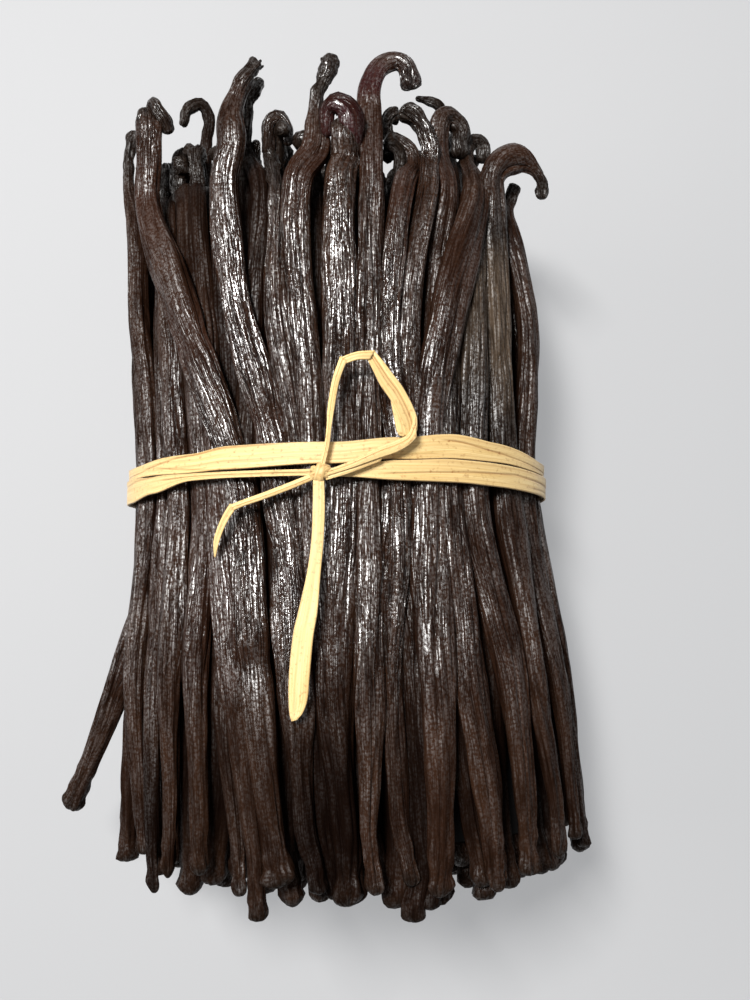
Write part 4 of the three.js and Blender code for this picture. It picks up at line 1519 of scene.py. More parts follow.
        # Painted shade in the creases: deep there, the body colour on the ridges.
        ridge = add_node(
            tree, "Mix", {"data_type": "RGBA", 6: linear_colour(self.deep), 7: linear_colour(self.body)},
            {0: crease},
        )
        warmth = add_node(tree, "MapRange", {"From Min": 0.4, "From Max": 0.7, "To Max": 0.5}, {0: blotch})
        warmer = add_node(
            tree, "Mix", {"data_type": "RGBA", 7: linear_colour(self.warm)}, {0: warmth, 6: ridge.outputs[2]}
        )
        patchy = add_node(tree, "MapRange", {"From Min": 0.3, "From Max": 0.6, "To Min": 0.35}, {0: blotch})
        redness = add_node(tree, "MapRange", {"From Min": PLAIN_HUE, "From Max": 0.9}, {0: hue})
        red = add_node(tree, "Math", {"operation": "MULTIPLY"}, {0: redness, 1: patchy})
        reds = add_node(tree, "ValToRGB", links={0: hue})
        ramp(reds, [(0.8, linear_colour(self.rust)), (1.0, linear_colour(self.maroon))])
        redder = add_node(tree, "Mix", {"data_type": "RGBA"}, {0: red, 6: warmer.outputs[2], 7: reds})
        dried = add_node(tree, "MapRange", {"From Max": STEM_DRYNESS, "To Max": 0.8}, {0: dry})
        woody = add_node(tree, "ValToRGB", links={0: dry})
        ramp(woody, [(STEM_DRYNESS, linear_colour(self.dry)), (1.0, linear_colour(self.weathered))])
        # Dry skin takes the same painted shade in its creases.
        grooved = add_node(
            tree, "Mix", {"data_type": "RGBA", 6: linear_colour(self.deep)}, {0: crease, 7: woody}
        )
        skin = add_node(
            tree, "Mix", {"data_type": "RGBA"}, {0: dried, 6: redder.outputs[2], 7: grooved.outputs[2]}
        )
        # A hue under plain darkens the skin towards deep: painted shade on pods deep in the pack, and darker
        # blunt ends and blacker stretches.
        black = add_node(tree, "MapRange", {"From Min": PLAIN_HUE, "From Max": 0.0, "To Max": 0.85}, {0: hue})
        return add_node(
            tree, "Mix", {"data_type": "RGBA", 7: linear_colour(self.deep)}, {0: black, 6: skin.outputs[2]}
        ).outputs[2]

    def _roughness(self, tree: Tree, blotch: Source, crease: Source, matte: Source, dry: Source) -> Source:
        """Roughness: oily on the ridges, duller in the creases, on matte pods and where the skin is dry.

        Args:
            tree: Node tree of the material.
            blotch: Slow noise that makes patches.
            crease: 0 in a crease, 1 on a ridge.
            matte: How matte the pod is here.
            dry: Dryness, see STEM_DRYNESS.

        Returns:
            The roughness.
        """
        oily = add_node(
            tree, "MapRange", {"From Min": 0.35, "From Max": 0.65, "To Min": 0.07, "To Max": 0.2}, {0: blotch}
        )
        brown = add_node(
            tree, "Math", {"operation": "MULTIPLY_ADD", 1: self.matte_roughness}, {0: matte, 2: oily}
        )
        dried = add_node(
            tree, "Math", {"operation": "MULTIPLY_ADD", 1: self.dry_roughness}, {0: dry, 2: brown}
        )
        return add_node(tree, "Mix", {"data_type": "FLOAT", 2: self.crease_roughness}, {0: crease, 3: dried})


@dataclass(frozen=True)
class PackedShadow:
    """Skin of the pods deep in the pack: the same cured skin, out of the light, painted near black as painted
    shade.
    """

    deep: str = "#030202"
    colour: str = "#070404"
    lump_mm: float = 24.0
    bump_mm: float = 0.5

    def build(self) -> bpy.types.Material:
        """Makes the material.

        Returns:
            The material.
        """
        material, tree = new_material("packed_vanilla_inside_painted_shade")
        place = add_node(tree, "TexCoord")
        lumps = add_node(
            tree, "TexNoise", {"Scale": 1000.0 / self.lump_mm, "Detail": 3.0},
            {"Vector": place.outputs["Object"]},
        )
        shade = add_node(tree, "ValToRGB", links={0: lumps})
        ramp(shade, [(0.3, linear_colour(self.deep)), (0.75, linear_colour(self.colour))])
        bump = add_node(tree, "Bump", {"Strength": 0.6, "Distance": self.bump_mm * MM}, {"Height": lumps})
        skin = add_node(
            tree, "BsdfPrincipled", {"Roughness": 0.85, "IOR": 1.5, "Specular IOR Level": 0.2},
            {"Base Color": shade, "Normal": bump},
        )
        add_node(tree, "OutputMaterial", links={"Surface": skin})
        return material


@dataclass(frozen=True)
class DriedRaffia:
    """Raffia: a strip peeled from a palm leaf and dried, straw yellow, with fine lengthwise fibres.

    It is a little glossy along the fibres and browner in the creases and at the edges. The fibres are drawn
    coarser than the real ones, which are too fine to show.
    """

    pale: str = "#d3b982"
    straw: str = "#bc9a5c"
    brown: str = "#8a5c2a"
    fibre_mm: float = 0.28
    fibre_stretch: float = 0.02
    speck_mm: float = 0.9
    bump_mm: float = 0.12

    def build(self) -> bpy.types.Material:
        """Makes the material.

        Returns:
            The material.
        """
        material, tree = new_material("dried_raffia_palm_strip")
        tint = add_node(tree, "VertexColor", {"layer_name": "tint"})
        parts = add_node(tree, "SeparateColor", links={0: tint})
        crease = parts
        uv = add_node(tree, "UVMap", {"uv_map": "surface"})
        stretch = add_node(
            tree, "Mapping", {"Scale": (1.0 / self.fibre_mm, self.fibre_stretch / self.fibre_mm, 1.0)},
            {"Vector": uv},
        )
        fibres = add_node(
            tree, "TexNoise", {"Scale": 1.0, "Detail": 4.0, "Roughness": 0.6}, {"Vector": stretch}
        )
        broad = add_node(tree, "TexNoise", {"Scale": 0.25, "Detail": 2.0}, {"Vector": stretch})
        straw = add_node(tree, "ValToRGB", links={0: fibres})
        ramp(straw, [(0.3, linear_colour(self.straw)), (0.62, linear_colour(self.pale))])
        # Brown stains along the fibres, brown creases and edges, and small brown specks.
        stained = add_node(
            tree, "MapRange", {"From Min": 0.48, "From Max": 0.72, "To Min": 0.0, "To Max": 0.45}, {0: broad}
        )
        browner = add_node(tree, "Math", {"operation": "ADD", "use_clamp": True}, {0: stained, 1: crease})
        place = add_node(tree, "TexCoord")
        specks = add_node(
            tree, "TexNoise", {"Scale": 1000.0 / self.speck_mm, "Detail": 3.0},
            {"Vector": place.outputs["Object"]},
        )
        dots = add_node(tree, "MapRange", {"From Min": 0.58, "From Max": 0.72, "To Max": 0.5}, {0: specks})
        spotted = add_node(tree, "Math", {"operation": "ADD", "use_clamp": True}, {0: browner, 1: dots})
        colour = add_node(
            tree, "Mix", {"data_type": "RGBA", 7: linear_colour(self.brown)}, {0: spotted, 6: straw}
        )
        bump = add_node(tree, "Bump", {"Strength": 0.7, "Distance": self.bump_mm * MM}, {"Height": fibres})
        strip = add_node(
            tree, "BsdfPrincipled", {"Roughness": 0.5, "IOR": 1.45, "Sheen Weight": 0.15},
            {"Base Color": colour.outputs[2], "Normal": bump},
        )
        add_node(tree, "OutputMaterial", links={"Surface": strip})
        return material


# ---- The pods of the bundle ----


@dataclass
class PodBundle:
    """Every pod of the bundle over a dark core, grouped by where it lies."""

    node: str = "pod_bundle"
    slot: str = "vanilla_pod"
    shown_detail: PodDetail = PodDetail(columns=60, body_rows=92, end_rows=16)
    side_detail: PodDetail = PodDetail(columns=36, body_rows=52, end_rows=10)
    second_detail: PodDetail = PodDetail(columns=24, body_rows=30, end_rows=8)
    stub_detail: PodDetail = PodDetail(columns=18, body_rows=5, end_rows=7)
    core_inset: float = 11.5
    core_ends: tuple[float, float] = (-78.0, 44.0)
    core_columns: int = 72
    core_rows: int = 24
    groups: int = 3
    rule: PackingRule = field(default_factory=PackingRule)
    modeller: PodModeller = field(default_factory=PodModeller)
    end_modeller: StemEndModeller = field(default_factory=StemEndModeller)

    def build(self, skin: bpy.types.Material, inside: bpy.types.Material) -> list[bpy.types.Object]:
        """Makes every piece.

        Args:
            skin: Finish of the pods.
            inside: Finish of the core, near black as painted shade.

        Returns:
            The pieces.
        """
        pieces = [self._core(inside)]
        for group in range(self.groups):
            maker = MeshMaker(f"shown_pods_{'abc'[group]}")
            for k in range(group, len(SHOWN_PODS), self.groups):
                seed = draw(k, Salt.SHOWN_SEED)
                self.modeller.add(maker, SHOWN_PODS[k], seed, PodPart.WHOLE, self.shown_detail)
            pieces.append(maker.finish(skin, self.node))
        maker = MeshMaker("shown_stem_ends")
        for k, (points, red) in enumerate(SHOWN_ENDS):
            self.end_modeller.add(maker, points, red, draw(k, Salt.END_SEED))
        pieces.append(maker.finish(skin, self.node))
        rings = [self.rule.ring(number) for number in range(1, self.rule.inner_rings + 1)]
        inner = [pod for ring in rings[1:] for pod in ring]
        packed = (
            ("side_pods", self.rule.side_pods(), Salt.SIDE_SEED, PodPart.WHOLE, self.side_detail),
            ("second_layer_pods", rings[0], Salt.SECOND_SEED, PodPart.WHOLE, self.second_detail),
            ("inner_pods_butt_end", inner, Salt.INNER_SEED, PodPart.BUTT_END, self.stub_detail),
            ("inner_pods_stem_end", inner, Salt.INNER_SEED, PodPart.STEM_END, self.stub_detail),
        )
        for name, pods, salt, part, detail in packed:
            maker = MeshMaker(name)
            for k, pod in enumerate(pods):
                self.modeller.add(maker, pod, draw(k, salt), part, detail)
            pieces.append(maker.finish(skin, self.node))
        return pieces

    def _core(self, inside: bpy.types.Material) -> bpy.types.Object:
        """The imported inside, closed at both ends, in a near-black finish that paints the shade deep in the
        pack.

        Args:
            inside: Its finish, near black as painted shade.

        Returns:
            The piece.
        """
        maker = MeshMaker("packed_core")
        low, high = self.core_ends
        tint = (0.0, 0.0, 0.0, 1.0)

        def place(row: int, column: int) -> tuple[Vector, Tint]:
            """Point of the core; its first and last rows close the ends.

            Args:
                row: Row along the core.
                column: Column round it.

            Returns:
                Point and tint.
            """
            y = mix(low, high, min(max(row - 1, 0) / (self.core_rows - 2), 1.0))
            if row in (0, self.core_rows):
                return Vector((OUTLINE.centre_x(y), y, OUTLINE.mid_height)), tint
            turn = 360.0 * (column % self.core_columns) / self.core_columns
            return OUTLINE.point(turn, y, -self.core_inset), tint

        maker.roll(self.core_columns, self.core_rows, place, (1.0, 1.0))
        return maker.finish(inside, self.node)


# ---- Raffia tie ----


@dataclass(frozen=True)
class TieEdge:
    """Where a turn of the tie lies at an angle round the bundle: its lower and upper edge along Y."""

    turn: float
    low: float
    high: float


@dataclass(frozen=True)
class Fold:
    """A fold line on a turn of the strip: (angle, share of the width) places, and its depth."""

    line: tuple[tuple[float, float], ...]
    depth: float = 1.0
    fade_deg: float = 5.0

    def at(self, turn: float) -> tuple[float, float]:
        """Where the fold is at an angle.

        Args:
            turn: Degrees round the bundle.

        Returns:
            Share of the width and depth; no depth beyond the ends.
        """
        first, last = self.line[0][0], self.line[-1][0]
        if not first <= turn <= last:
            return 0.0, 0.0
        before, after = next((a, b) for a, b in zip(self.line, self.line[1:]) if a[0] <= turn <= b[0])
        share = mix(before[1], after[1], (turn - before[0]) / (after[0] - before[0]))
        return share, self.depth * smoothstep(0.0, self.fade_deg, min(turn - first, last - turn))


@dataclass(frozen=True)
class TieTurn:
    """One turn of the strip round the waist."""

    name: str
    edges: tuple[TieEdge, ...]
    folds: tuple[Fold, ...]
    lift: float

    def at(self, turn: float) -> tuple[float, float]:
        """Where the strip lies at an angle.

        Args:
            turn: Degrees round the bundle.

        Returns:
            Lower and upper edge along Y.
        """
        first, last = self.edges[0], self.edges[-1]
        early = TieEdge(last.turn - 360, last.low, last.high)
        late = TieEdge(first.turn + 360, first.low, first.high)
        ring = [early, *self.edges, late]
        before, after = next((a, b) for a, b in zip(ring, ring[1:]) if a.turn <= turn <= b.turn)
        share = smoothstep(before.turn, after.turn, turn)
        return mix(before.low, after.low, share), mix(before.high, after.high, share)


@dataclass(frozen=True)
class Rung:
    """A cross-section of a flat run: where its two edges lie, and its height over the outline."""

    left: tuple[float, float]
    right: tuple[float, float]
    over: float


@dataclass(frozen=True)
class StripRun:
    """A run of the strip between two folds or ends, with the shares of its width where it is creased."""

    rungs: tuple[Rung, ...]
    creases: tuple[float, ...]
    thick: float
    arch: float


RungRow = tuple[float, float, float, float, float]


def run(thick: float, arch: float, creases: tuple[float, ...], *rows: RungRow) -> StripRun:
    """A run from rows of left x and y, right x and y, and height over the outline.

    Args:
        thick: Thickness of the strip.
        arch: How far the middle stands over the edges.
        creases: Shares of the width where it is creased.
        rows: The cross-sections.

    Returns:
        The run.
    """
    return StripRun(tuple(Rung((r[0], r[1]), (r[2], r[3]), r[4]) for r in rows), creases, thick, arch)


@dataclass
class RaffiaTie:
    """The tie: two turns round the waist, a knot, one loop and two tails."""

    node: str = "raffia_tie"
    slot: str = "raffia"
    thick: float = 0.4
    ring_columns: int = 44
    ring_rows: int = 300
    strip_columns: int = 30
    rows_per_span: int = 9
    front_share: float = 0.75
    crease_width: float = 0.034
    crease_depth: float = 0.55
    crease_step: float = 0.25
    crease_step_half: float = 0.03
    edge_rounding: float = 0.04
    least_height: float = 0.1
    section_wave: float = 0.12
    section_wave_across: float = 3.0
    section_wave_along: float = 0.08
    section_stride: float = 9.0
    turn_wave: float = 0.12
    turn_wave_round: float = 4.0
    strip_wave: float = 0.1
    strip_wave_along: float = 0.25
    strip_stride: float = 5.0
    brown_crease: float = 0.6
    brown_edge: float = 0.45
    brown_edge_width: float = 0.06
    turn_uv_round: float = 9.0
    upper: TieTurn = TieTurn(
        "tie_upper_turn",
        (
            TieEdge(18, 0.7, 3.5), TieEdge(45, 1.4, 5.8), TieEdge(58, 1.4, 6.7), TieEdge(74, 0.7, 5.4),
            TieEdge(90, -0.4, 4.2), TieEdge(116, -1.2, 4.0), TieEdge(127, -1.3, 2.9), TieEdge(158, -0.8, 1.9),
            TieEdge(200, 0.2, 4.2), TieEdge(270, 0.4, 5.0), TieEdge(330, 0.1, 4.3),
        ),
        (
            Fold(((5, 0.3), (26, 0.37), (39, 0.44), (48, 0.56), (64, 0.78))),
            Fold(((100, 0.94), (118, 0.92), (126, 0.9), (133, 0.82), (142, 0.58), (150, 0.5))),
            Fold(((120, 0.04), (132, 0.25), (144, 0.5)), 0.7),
            Fold(((144, 0.5), (152, 0.35), (170, 0.3)), 0.7),
            Fold(((190, 0.4), (240, 0.55), (320, 0.35), (350, 0.3))),
            Fold(((60, 0.25), (80, 0.18), (100, 0.2)), 0.35),
        ),
        0.1,
    )
    lower: TieTurn = TieTurn(
        "tie_lower_turn",
        (
            TieEdge(18, -4.3, 0.5), TieEdge(46, -3.9, 1.3), TieEdge(58, -3.7, 1.3), TieEdge(74, -3.7, 0.6),
            TieEdge(88, -3.0, -1.3), TieEdge(97, -2.9, -1.6), TieEdge(127, -3.0, -1.4),
            TieEdge(142, -5.1, -1.2), TieEdge(157, -6.2, -0.6), TieEdge(200, -5.4, 0.4),
            TieEdge(270, -4.6, 0.6), TieEdge(330, -4.4, 0.2),
        ),
        (
            Fold(
                ((5, 0.5), (18, 0.56), (31, 0.6), (37, 0.64), (46, 0.54), (61, 0.41), (69, 0.38), (80, 0.3)),
            ),
            Fold(((88, 0.5), (110, 0.5), (130, 0.55), (140, 0.7))),
            Fold(((138, 0.98), (148, 0.9), (160, 0.76), (175, 0.7)), 0.8),
            Fold(((190, 0.6), (250, 0.4), (300, 0.5), (350, 0.45))), Fold(((8, 0.25), (30, 0.2)), 0.5),
        ),
        0.4,
    )
    front_tail: tuple[StripRun, ...] = (
        run(
            0.5, 0.2, (), (-3.5, -3.1, -1.1, -3.4, 1.9), (-3.5, -8.7, -0.9, -9.1, 1.7),
            (-3.7, -16.0, -1.1, -16.0, 1.5), (-4.5, -22.5, -1.7, -23.4, 1.5), (-6.2, -30.4, -2.2, -30.7, 1.6),
            (-7.1, -34.4, -2.9, -35.1, 1.6), (-7.9, -42.8, -3.6, -43.2, 1.5), (-7.9, -47.7, -4.0, -47.6, 1.4),
            (-7.6, -50.6, -4.9, -50.0, 1.4), (-7.2, -51.6, -6.0, -51.3, 1.4),
        ),
    )
    side_tail: tuple[StripRun, ...] = (
        run(
            0.7, 0.2, (0.62,), (-2.0, -1.9, -1.9, -3.4, 1.9), (-8.1, -4.3, -7.7, -5.8, 1.6),
            (-13.9, -6.4, -13.4, -7.8, 1.5), (-18.5, -7.9, -18.2, -9.3, 1.6),
            (-20.6, -8.7, -19.7, -10.0, 1.8),
        ),
        run(
            0.45, 0.2, (0.4,), (-20.7, -8.4, -18.9, -9.2, 1.7), (-22.1, -10.6, -20.6, -11.4, 1.6),
            (-23.2, -13.0, -21.9, -13.9, 1.5), (-24.1, -16.0, -22.8, -16.5, 1.4),
            (-23.9, -19.2, -23.5, -19.5, 1.3),
        ),
    )
    loop: tuple[StripRun, ...] = (
        run(
            0.7, 0.1, (0.45,), (-2.5, -2.4, -1.4, -2.6, 2.0), (-1.2, 3.1, -0.1, 2.9, 2.4),
            (-0.7, 7.2, 0.4, 7.0, 2.8), (-0.6, 9.9, 0.8, 9.5, 3.1), (0.4, 16.1, 2.0, 15.9, 3.9),
            (2.0, 20.9, 3.5, 19.9, 4.3),
        ),
        run(
            0.5, 0.15, (0.3,), (1.8, 20.6, 3.2, 19.3, 4.2), (5.3, 21.8, 5.5, 20.0, 4.7),
            (9.2, 22.3, 8.0, 20.2, 4.5),
        ),
        run(
            0.45, -0.25, (0.45, 0.62), (7.1, 21.2, 8.9, 22.3, 4.3), (8.7, 18.0, 10.9, 20.0, 4.4),
            (10.1, 15.2, 12.8, 17.6, 4.2), (12.3, 12.1, 15.1, 14.6, 3.9), (14.6, 7.4, 17.7, 9.3, 3.3),
            (15.4, 5.0, 17.8, 6.4, 2.9),
        ),
        run(
            0.5, 0.2, (), (12.2, 12.4, 14.2, 11.9, 3.5), (13.0, 8.4, 15.2, 8.5, 3.0),
            (13.5, 6.1, 15.6, 5.6, 2.8), (14.0, 5.3, 15.0, 5.0, 2.6),
        ),
        run(
            0.6, 0.15, (0.45,), (17.3, 9.8, 17.6, 4.7, 3.3), (15.8, 5.6, 16.3, 3.4, 3.1),
            (13.4, 4.3, 14.0, 1.9, 2.9), (10.5, 3.1, 10.0, 0.4, 2.7), (4.0, -0.2, 4.4, -1.7, 2.5),
            (-1.5, -2.3, -1.1, -3.4, 2.1),
        ),
        run(
            0.6, 0.1, (), (11.0, 1.3, 10.2, -0.1, 2.2), (4.2, -1.4, 3.8, -2.7, 2.1),
            (-0.8, -2.8, -0.8, -4.1, 1.9),
        ),
    )
    knot_at: Point3 = (-2.0, -2.4, 1.7)
    knot_wraps: tuple[tuple[float, float, float, float], ...] = (
        (74.0, 1.8, 1.35, 2.1), (28.0, 2.1, 1.25, 1.4), (-24.0, 1.9, 1.15, 1.3), (150.0, 1.7, 1.25, 1.2),
    )  # heading in degrees, reach, height and width
    knot_columns: int = 24
    knot_rows: int = 40
    knot_thick: float = 0.3
    knot_ribs: int = 6
    knot_rib: float = 0.06
    knot_wave: float = 0.05
    knot_brown: tuple[float, float] = (0.45, 0.15)
    knot_uv: tuple[float, float] = (3.0, 9.0)

    def build(self, raffia: bpy.types.Material) -> list[bpy.types.Object]:
        """Makes every piece of the tie.

        Args:
            raffia: Finish of the strip.

        Returns:
            The pieces.
        """
        pieces = [self._turn(turn, raffia) for turn in (self.upper, self.lower)]
        strips = {"tie_loop": self.loop, "tie_side_tail": self.side_tail, "tie_front_tail": self.front_tail}
        for name, runs in strips.items():
            maker = MeshMaker(name)
            for k, strip in enumerate(runs):
                self._strip(maker, strip, k + len(name))
            pieces.append(maker.finish(raffia, self.node))
        pieces.append(self._knot(raffia))
        return pieces

    def _section(
        self, column: int, columns: int, creases: Sequence[tuple[float, float]], along: float, seed: float
    ) -> tuple[float, float, float]:
        """Place on the strip's section.

        Args:
            column: Vertex round the section.
            columns: Faces round the section.
            creases: Share of the width and depth of each crease here.
            along: Millimetres along the strip.
            seed: Where in the noise the strip lies.

        Returns:
            Share of the width, height as a share of the thickness, and how deep in a crease it is.
        """
        turn = (column % columns) / columns
        if turn >= self.front_share:
            return 1 - (turn - self.front_share) / (1 - self.front_share), 0.0, 0.0
        share = turn / self.front_share
        height = math.sqrt(min(min(share, 1 - share) / self.edge_rounding, 1.0))
        crease = sum(depth * bell(share - place, self.crease_width) for place, depth in creases)
        half = self.crease_step_half
        steps = (
            self.crease_step * depth * smoothstep(-half, half, share - place) for place, depth in creases
        )
        home = (share * self.section_wave_across, along * self.section_wave_along, seed * self.section_stride)
        wave = self.section_wave * noise.noise(Vector(home))
        dent = self.crease_depth * min(crease, 1.0)
        return share, max(height + wave + sum(steps) - dent, self.least_height), min(crease, 1.0)

    def _tint(self, share: float, crease: float) -> Tint:
        """What a vertex tells the finish, in red alone: how brown it is, in creases and along both edges."""
        edge = 1 - smoothstep(0.0, self.brown_edge_width, min(share, 1 - share))
        return (min(self.brown_crease * crease + self.brown_edge * edge, 1.0), 0.0, 0.0, 1.0)

    def _turn(self, turn: TieTurn, raffia: bpy.types.Material) -> bpy.types.Object:
        """One turn of the strip round the waist.

        Args:
            turn: The turn.
            raffia: Its finish.

        Returns:
            The piece.
        """
        maker = MeshMaker(turn.name)
        girth = math.tau * (OUTLINE.waist_half_width + OUTLINE.waist_half_depth) / 2

        def place(row: int, column: int) -> tuple[Vector, Tint]:
            """Point of the ring-shaped strip.

            Args:
                row: Row round the waist.
                column: Column round the section.

            Returns:
                Point and tint.
            """
            angle = 360.0 * (row % self.ring_rows) / self.ring_rows
            low, high = turn.at(angle)
            creases = [fold.at(angle) for fold in turn.folds]
            along = girth * angle / 360.0
            share, height, crease = self._section(column, self.ring_columns, creases, along, turn.lift)
            heading = (math.cos(math.radians(angle)), math.sin(math.radians(angle)))
            home = Vector((*(part * self.turn_wave_round for part in heading), share + turn.lift))
            wave = self.turn_wave * noise.noise(home)
            point = OUTLINE.point(angle, 0.0, turn.lift + wave + height * self.thick, pressed=False)
            return Vector((point.x, mix(low, high, share) + wave, point.z)), self._tint(share, crease)

        maker.roll(self.ring_columns, self.ring_rows, place, (self.turn_uv_round, girth))
        return maker.finish(raffia, self.node)

    def _strip(self, maker: MeshMaker, strip: StripRun, seed: float) -> None:
        """Adds a run of the strip to a mesh.

        Args:
            maker: The mesh that the run joins.
            strip: The run.
            seed: Where in the noise it lies.
        """
        edges = [
            SmoothPath([Vector((*side, OUTLINE.top(*side) + rung.over)) for rung, side in pairs])
            for pairs in ([(r, r.left) for r in strip.rungs], [(r, r.right) for r in strip.rungs])
        ]
        spans = len(strip.rungs) - 1
        rows = spans * self.rows_per_span
        length = edges[0].length
        creases = [(share, 1.0) for share in strip.creases]

        def place(row: int, column: int) -> tuple[Vector, Tint]:
            """Point of the run; its first and last rows close the ends.

            Args:
                row: Row along the run.
                column: Column round the section.

            Returns:
                Point and tint.
            """
            span = min(max((row - 1) / (rows - 2), 0.0), 1.0) * spans
            left, right = edges[0].at_span(span), edges[1].at_span(span)
            along = length * span / spans
            share, height, crease = self._section(column, self.strip_columns, creases, along, seed)
            if row in (0, rows):
                height = 0.5
            home = Vector((along * self.strip_wave_along, seed * self.strip_stride, share))
            wave = self.strip_wave * noise.noise(home)
            rise = strip.thick * (height - 0.5) + strip.arch * (1 - (2 * share - 1) ** 2) + wave
            return left.lerp(right, share) + Vector((0, 0, rise)), self._tint(share, crease)

        girth = (edges[0].at(0) - edges[1].at(0)).length * 2
        maker.roll(self.strip_columns, rows, place, (girth, length))

    def _knot(self, raffia: bpy.types.Material) -> bpy.types.Object:
        """The pulled-tight knot: wraps of the strip over its crossing.

        Args:
            raffia: Its finish.

        Returns:
            The piece.
        """
        maker = MeshMaker("tie_knot")
        x, y, over = self.knot_at
        centre = Vector((x, y, OUTLINE.top(x, y) + over))
        rows, columns = self.knot_rows, self.knot_columns
        for k, (heading, reach, high, width) in enumerate(self.knot_wraps):
            forward = Vector((math.cos(math.radians(heading)), math.sin(math.radians(heading)), 0))
            side = Vector((-forward.y, forward.x, 0))

            def place(row: int, column: int) -> tuple[Vector, Tint]:
                """Point of a wrap, a strip bent into a closed oval over the crossing.

                Args:
                    row: Row round the oval.
                    column: Column round the section.

                Returns:
                    Point and tint.
                """
                angle = math.tau * (row % rows) / rows
                spin = math.tau * (column % columns) / columns
                out = forward * math.cos(angle) + Vector((0, 0, math.sin(angle)))
                base = forward * (math.cos(angle) * reach) + Vector((0, 0, math.sin(angle) * high))
                rib = self.knot_rib * math.cos(spin * self.knot_ribs)
                rib += self.knot_wave * noise.noise(Vector((angle * 2, spin, k)))
                point = centre + base + side * (math.cos(spin) * width / 2)
                point += out * (math.sin(spin) * self.knot_thick + rib)
                brown = self.knot_brown[0] * (1 - abs(math.sin(spin))) + self.knot_brown[1]
                return point, (brown, 0.0, 0.0, 1.0)

            maker.roll(columns, rows, place, self.knot_uv)
        return maker.finish(raffia, self.node)


# ---- Studio ----


@dataclass(frozen=True)
class SoftLight:
    """A rectangular area light, aimed at the bundle. Metres and watts."""

    name: str
    place: Point3
    size: tuple[float, float]
    power: float
    colour: Point3


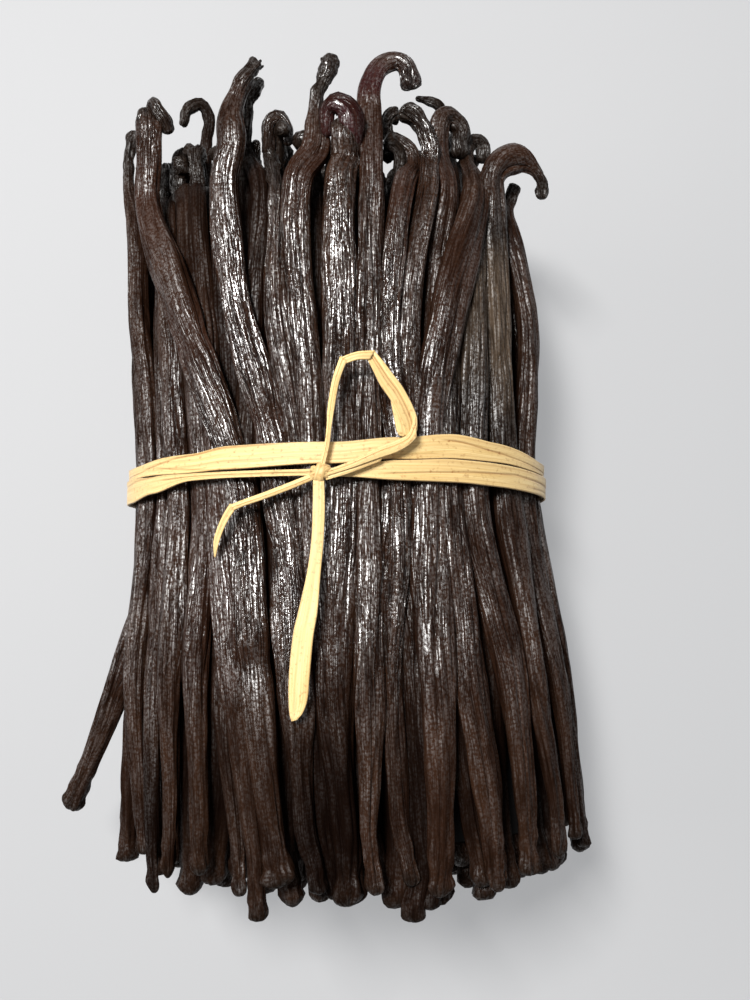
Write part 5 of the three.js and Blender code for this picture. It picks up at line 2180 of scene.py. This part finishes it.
@dataclass
class Studio:
    """Pale floor, soft lights and the camera that looks down on the bundle."""

    floor_half: float = 1.6
    floor_colour: str = "#7f7f80"
    floor_haze: str = "#7c7c7d"
    table_glow: float = 0.34
    sky_colour: str = "#f2f4f7"
    sky_strength: float = 0.2
    lights: tuple[SoftLight, ...] = (
        SoftLight("ceiling_panel", (-0.135, 0.165, 0.57), (0.10, 0.17), 6.0, (1.0, 0.99, 0.97)),
        SoftLight("right_wall", (0.8, 0.05, 0.5), (0.5, 0.5), 1.0, (1.0, 0.98, 0.95)),
        SoftLight("left_window", (-0.8, 0.05, 0.42), (0.4, 0.4), 3.2, (1.0, 0.98, 0.96)),
        SoftLight("blunt_end_wall", (0.0, -0.8, 0.3), (0.5, 0.4), 1.2, (1.0, 0.98, 0.95)),
        SoftLight("stem_end_wall", (0.0, 0.8, 0.3), (0.5, 0.4), 0.9, (1.0, 0.98, 0.95)),
    )
    aim_height: float = 0.05
    clip_start: float = 0.01
    target_mm: Point3 = (9.1, -3.9, 36.0)
    tilt_deg: float = 6.5
    distance_mm: float = 220.0
    frame_height_px: float = 1000.0
    focal_px: float = 909.0
    sensor_mm: float = 36.0

    def build(self) -> None:
        """Makes the floor, the lights, the sky and the camera."""
        self._floor()
        for light in self.lights:
            self._light(light)
        self._sky()
        self._camera()
        bpy.context.scene.view_settings.view_transform = "Standard"

    def _floor(self) -> None:
        """A plain pale floor that the bundle stands on: a light table, lit faintly from under."""
        grid = bmesh.new()
        bmesh.ops.create_grid(grid, x_segments=1, y_segments=1, size=self.floor_half)
        data = bpy.data.meshes.new("studio_floor")
        grid.to_mesh(data)
        grid.free()
        material, tree = new_material("opal_acrylic_light_table")
        place = add_node(tree, "TexCoord")
        haze = add_node(tree, "TexNoise", {"Scale": 2.0, "Detail": 1.0}, {"Vector": place.outputs["Object"]})
        shade = add_node(tree, "ValToRGB", links={0: haze})
        ramp(shade, [(0.2, linear_colour(self.floor_haze)), (0.8, linear_colour(self.floor_colour))])
        matte = add_node(
            tree, "BsdfPrincipled",
            {
                "Roughness": 0.8, "Emission Color": linear_colour(self.sky_colour),
                "Emission Strength": self.table_glow,
            },
            {"Base Color": shade},
        )
        add_node(tree, "OutputMaterial", links={"Surface": matte})
        data.materials.append(material)
        floor = bpy.data.objects.new("studio_floor", data)
        bpy.context.scene.collection.objects.link(floor)

    def _light(self, light: SoftLight) -> None:
        """One area light that faces the bundle's middle.

        Args:
            light: The light.
        """
        data = bpy.data.lights.new(light.name, "AREA")
        data.shape = "RECTANGLE"
        data.size, data.size_y = light.size
        data.energy = light.power
        data.color = light.colour
        lamp = bpy.data.objects.new(light.name, data)
        lamp.location = light.place
        aim = Vector((0, 0, self.aim_height)) - Vector(light.place)
        lamp.rotation_euler = aim.to_track_quat("-Z", "Y").to_euler()
        bpy.context.scene.collection.objects.link(lamp)

    def _sky(self) -> None:
        """Even pale light from all around."""
        world = bpy.data.worlds.new("studio_sky")
        world.use_nodes = True
        background = world.node_tree.nodes["Background"]
        background.inputs["Color"].default_value = linear_colour(self.sky_colour)
        background.inputs["Strength"].default_value = self.sky_strength
        bpy.context.scene.world = world

    def _camera(self) -> None:
        """The camera, almost straight over the bundle and leaning to its blunt ends."""
        tilt = math.radians(self.tilt_deg)
        back = Vector((0, -math.sin(tilt), math.cos(tilt))) * self.distance_mm
        data = bpy.data.cameras.new("view_from_above")
        data.sensor_width = self.sensor_mm
        data.lens = self.sensor_mm * self.focal_px / self.frame_height_px
        data.clip_start = self.clip_start
        camera = bpy.data.objects.new("view_from_above", data)
        camera.location = (Vector(self.target_mm) + back + ORIGIN) * MM
        camera.rotation_euler = Euler((tilt, 0, 0))
        bpy.context.scene.collection.objects.link(camera)
        bpy.context.scene.camera = camera


def main() -> None:
    """Builds the dressed bundle on its frame."""
    logging.basicConfig(level=logging.INFO, format="%(message)s")
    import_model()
    studio = Studio()
    studio.build()
    bundle = PodBundle()
    tie = RaffiaTie()
    pieces = bundle.build(CuredVanilla().build(), PackedShadow().build())
    pieces += tie.build(DriedRaffia().build())
    for piece in pieces:
        LOG.info("made %s", piece.name)


if __name__ == "__main__":
    main()
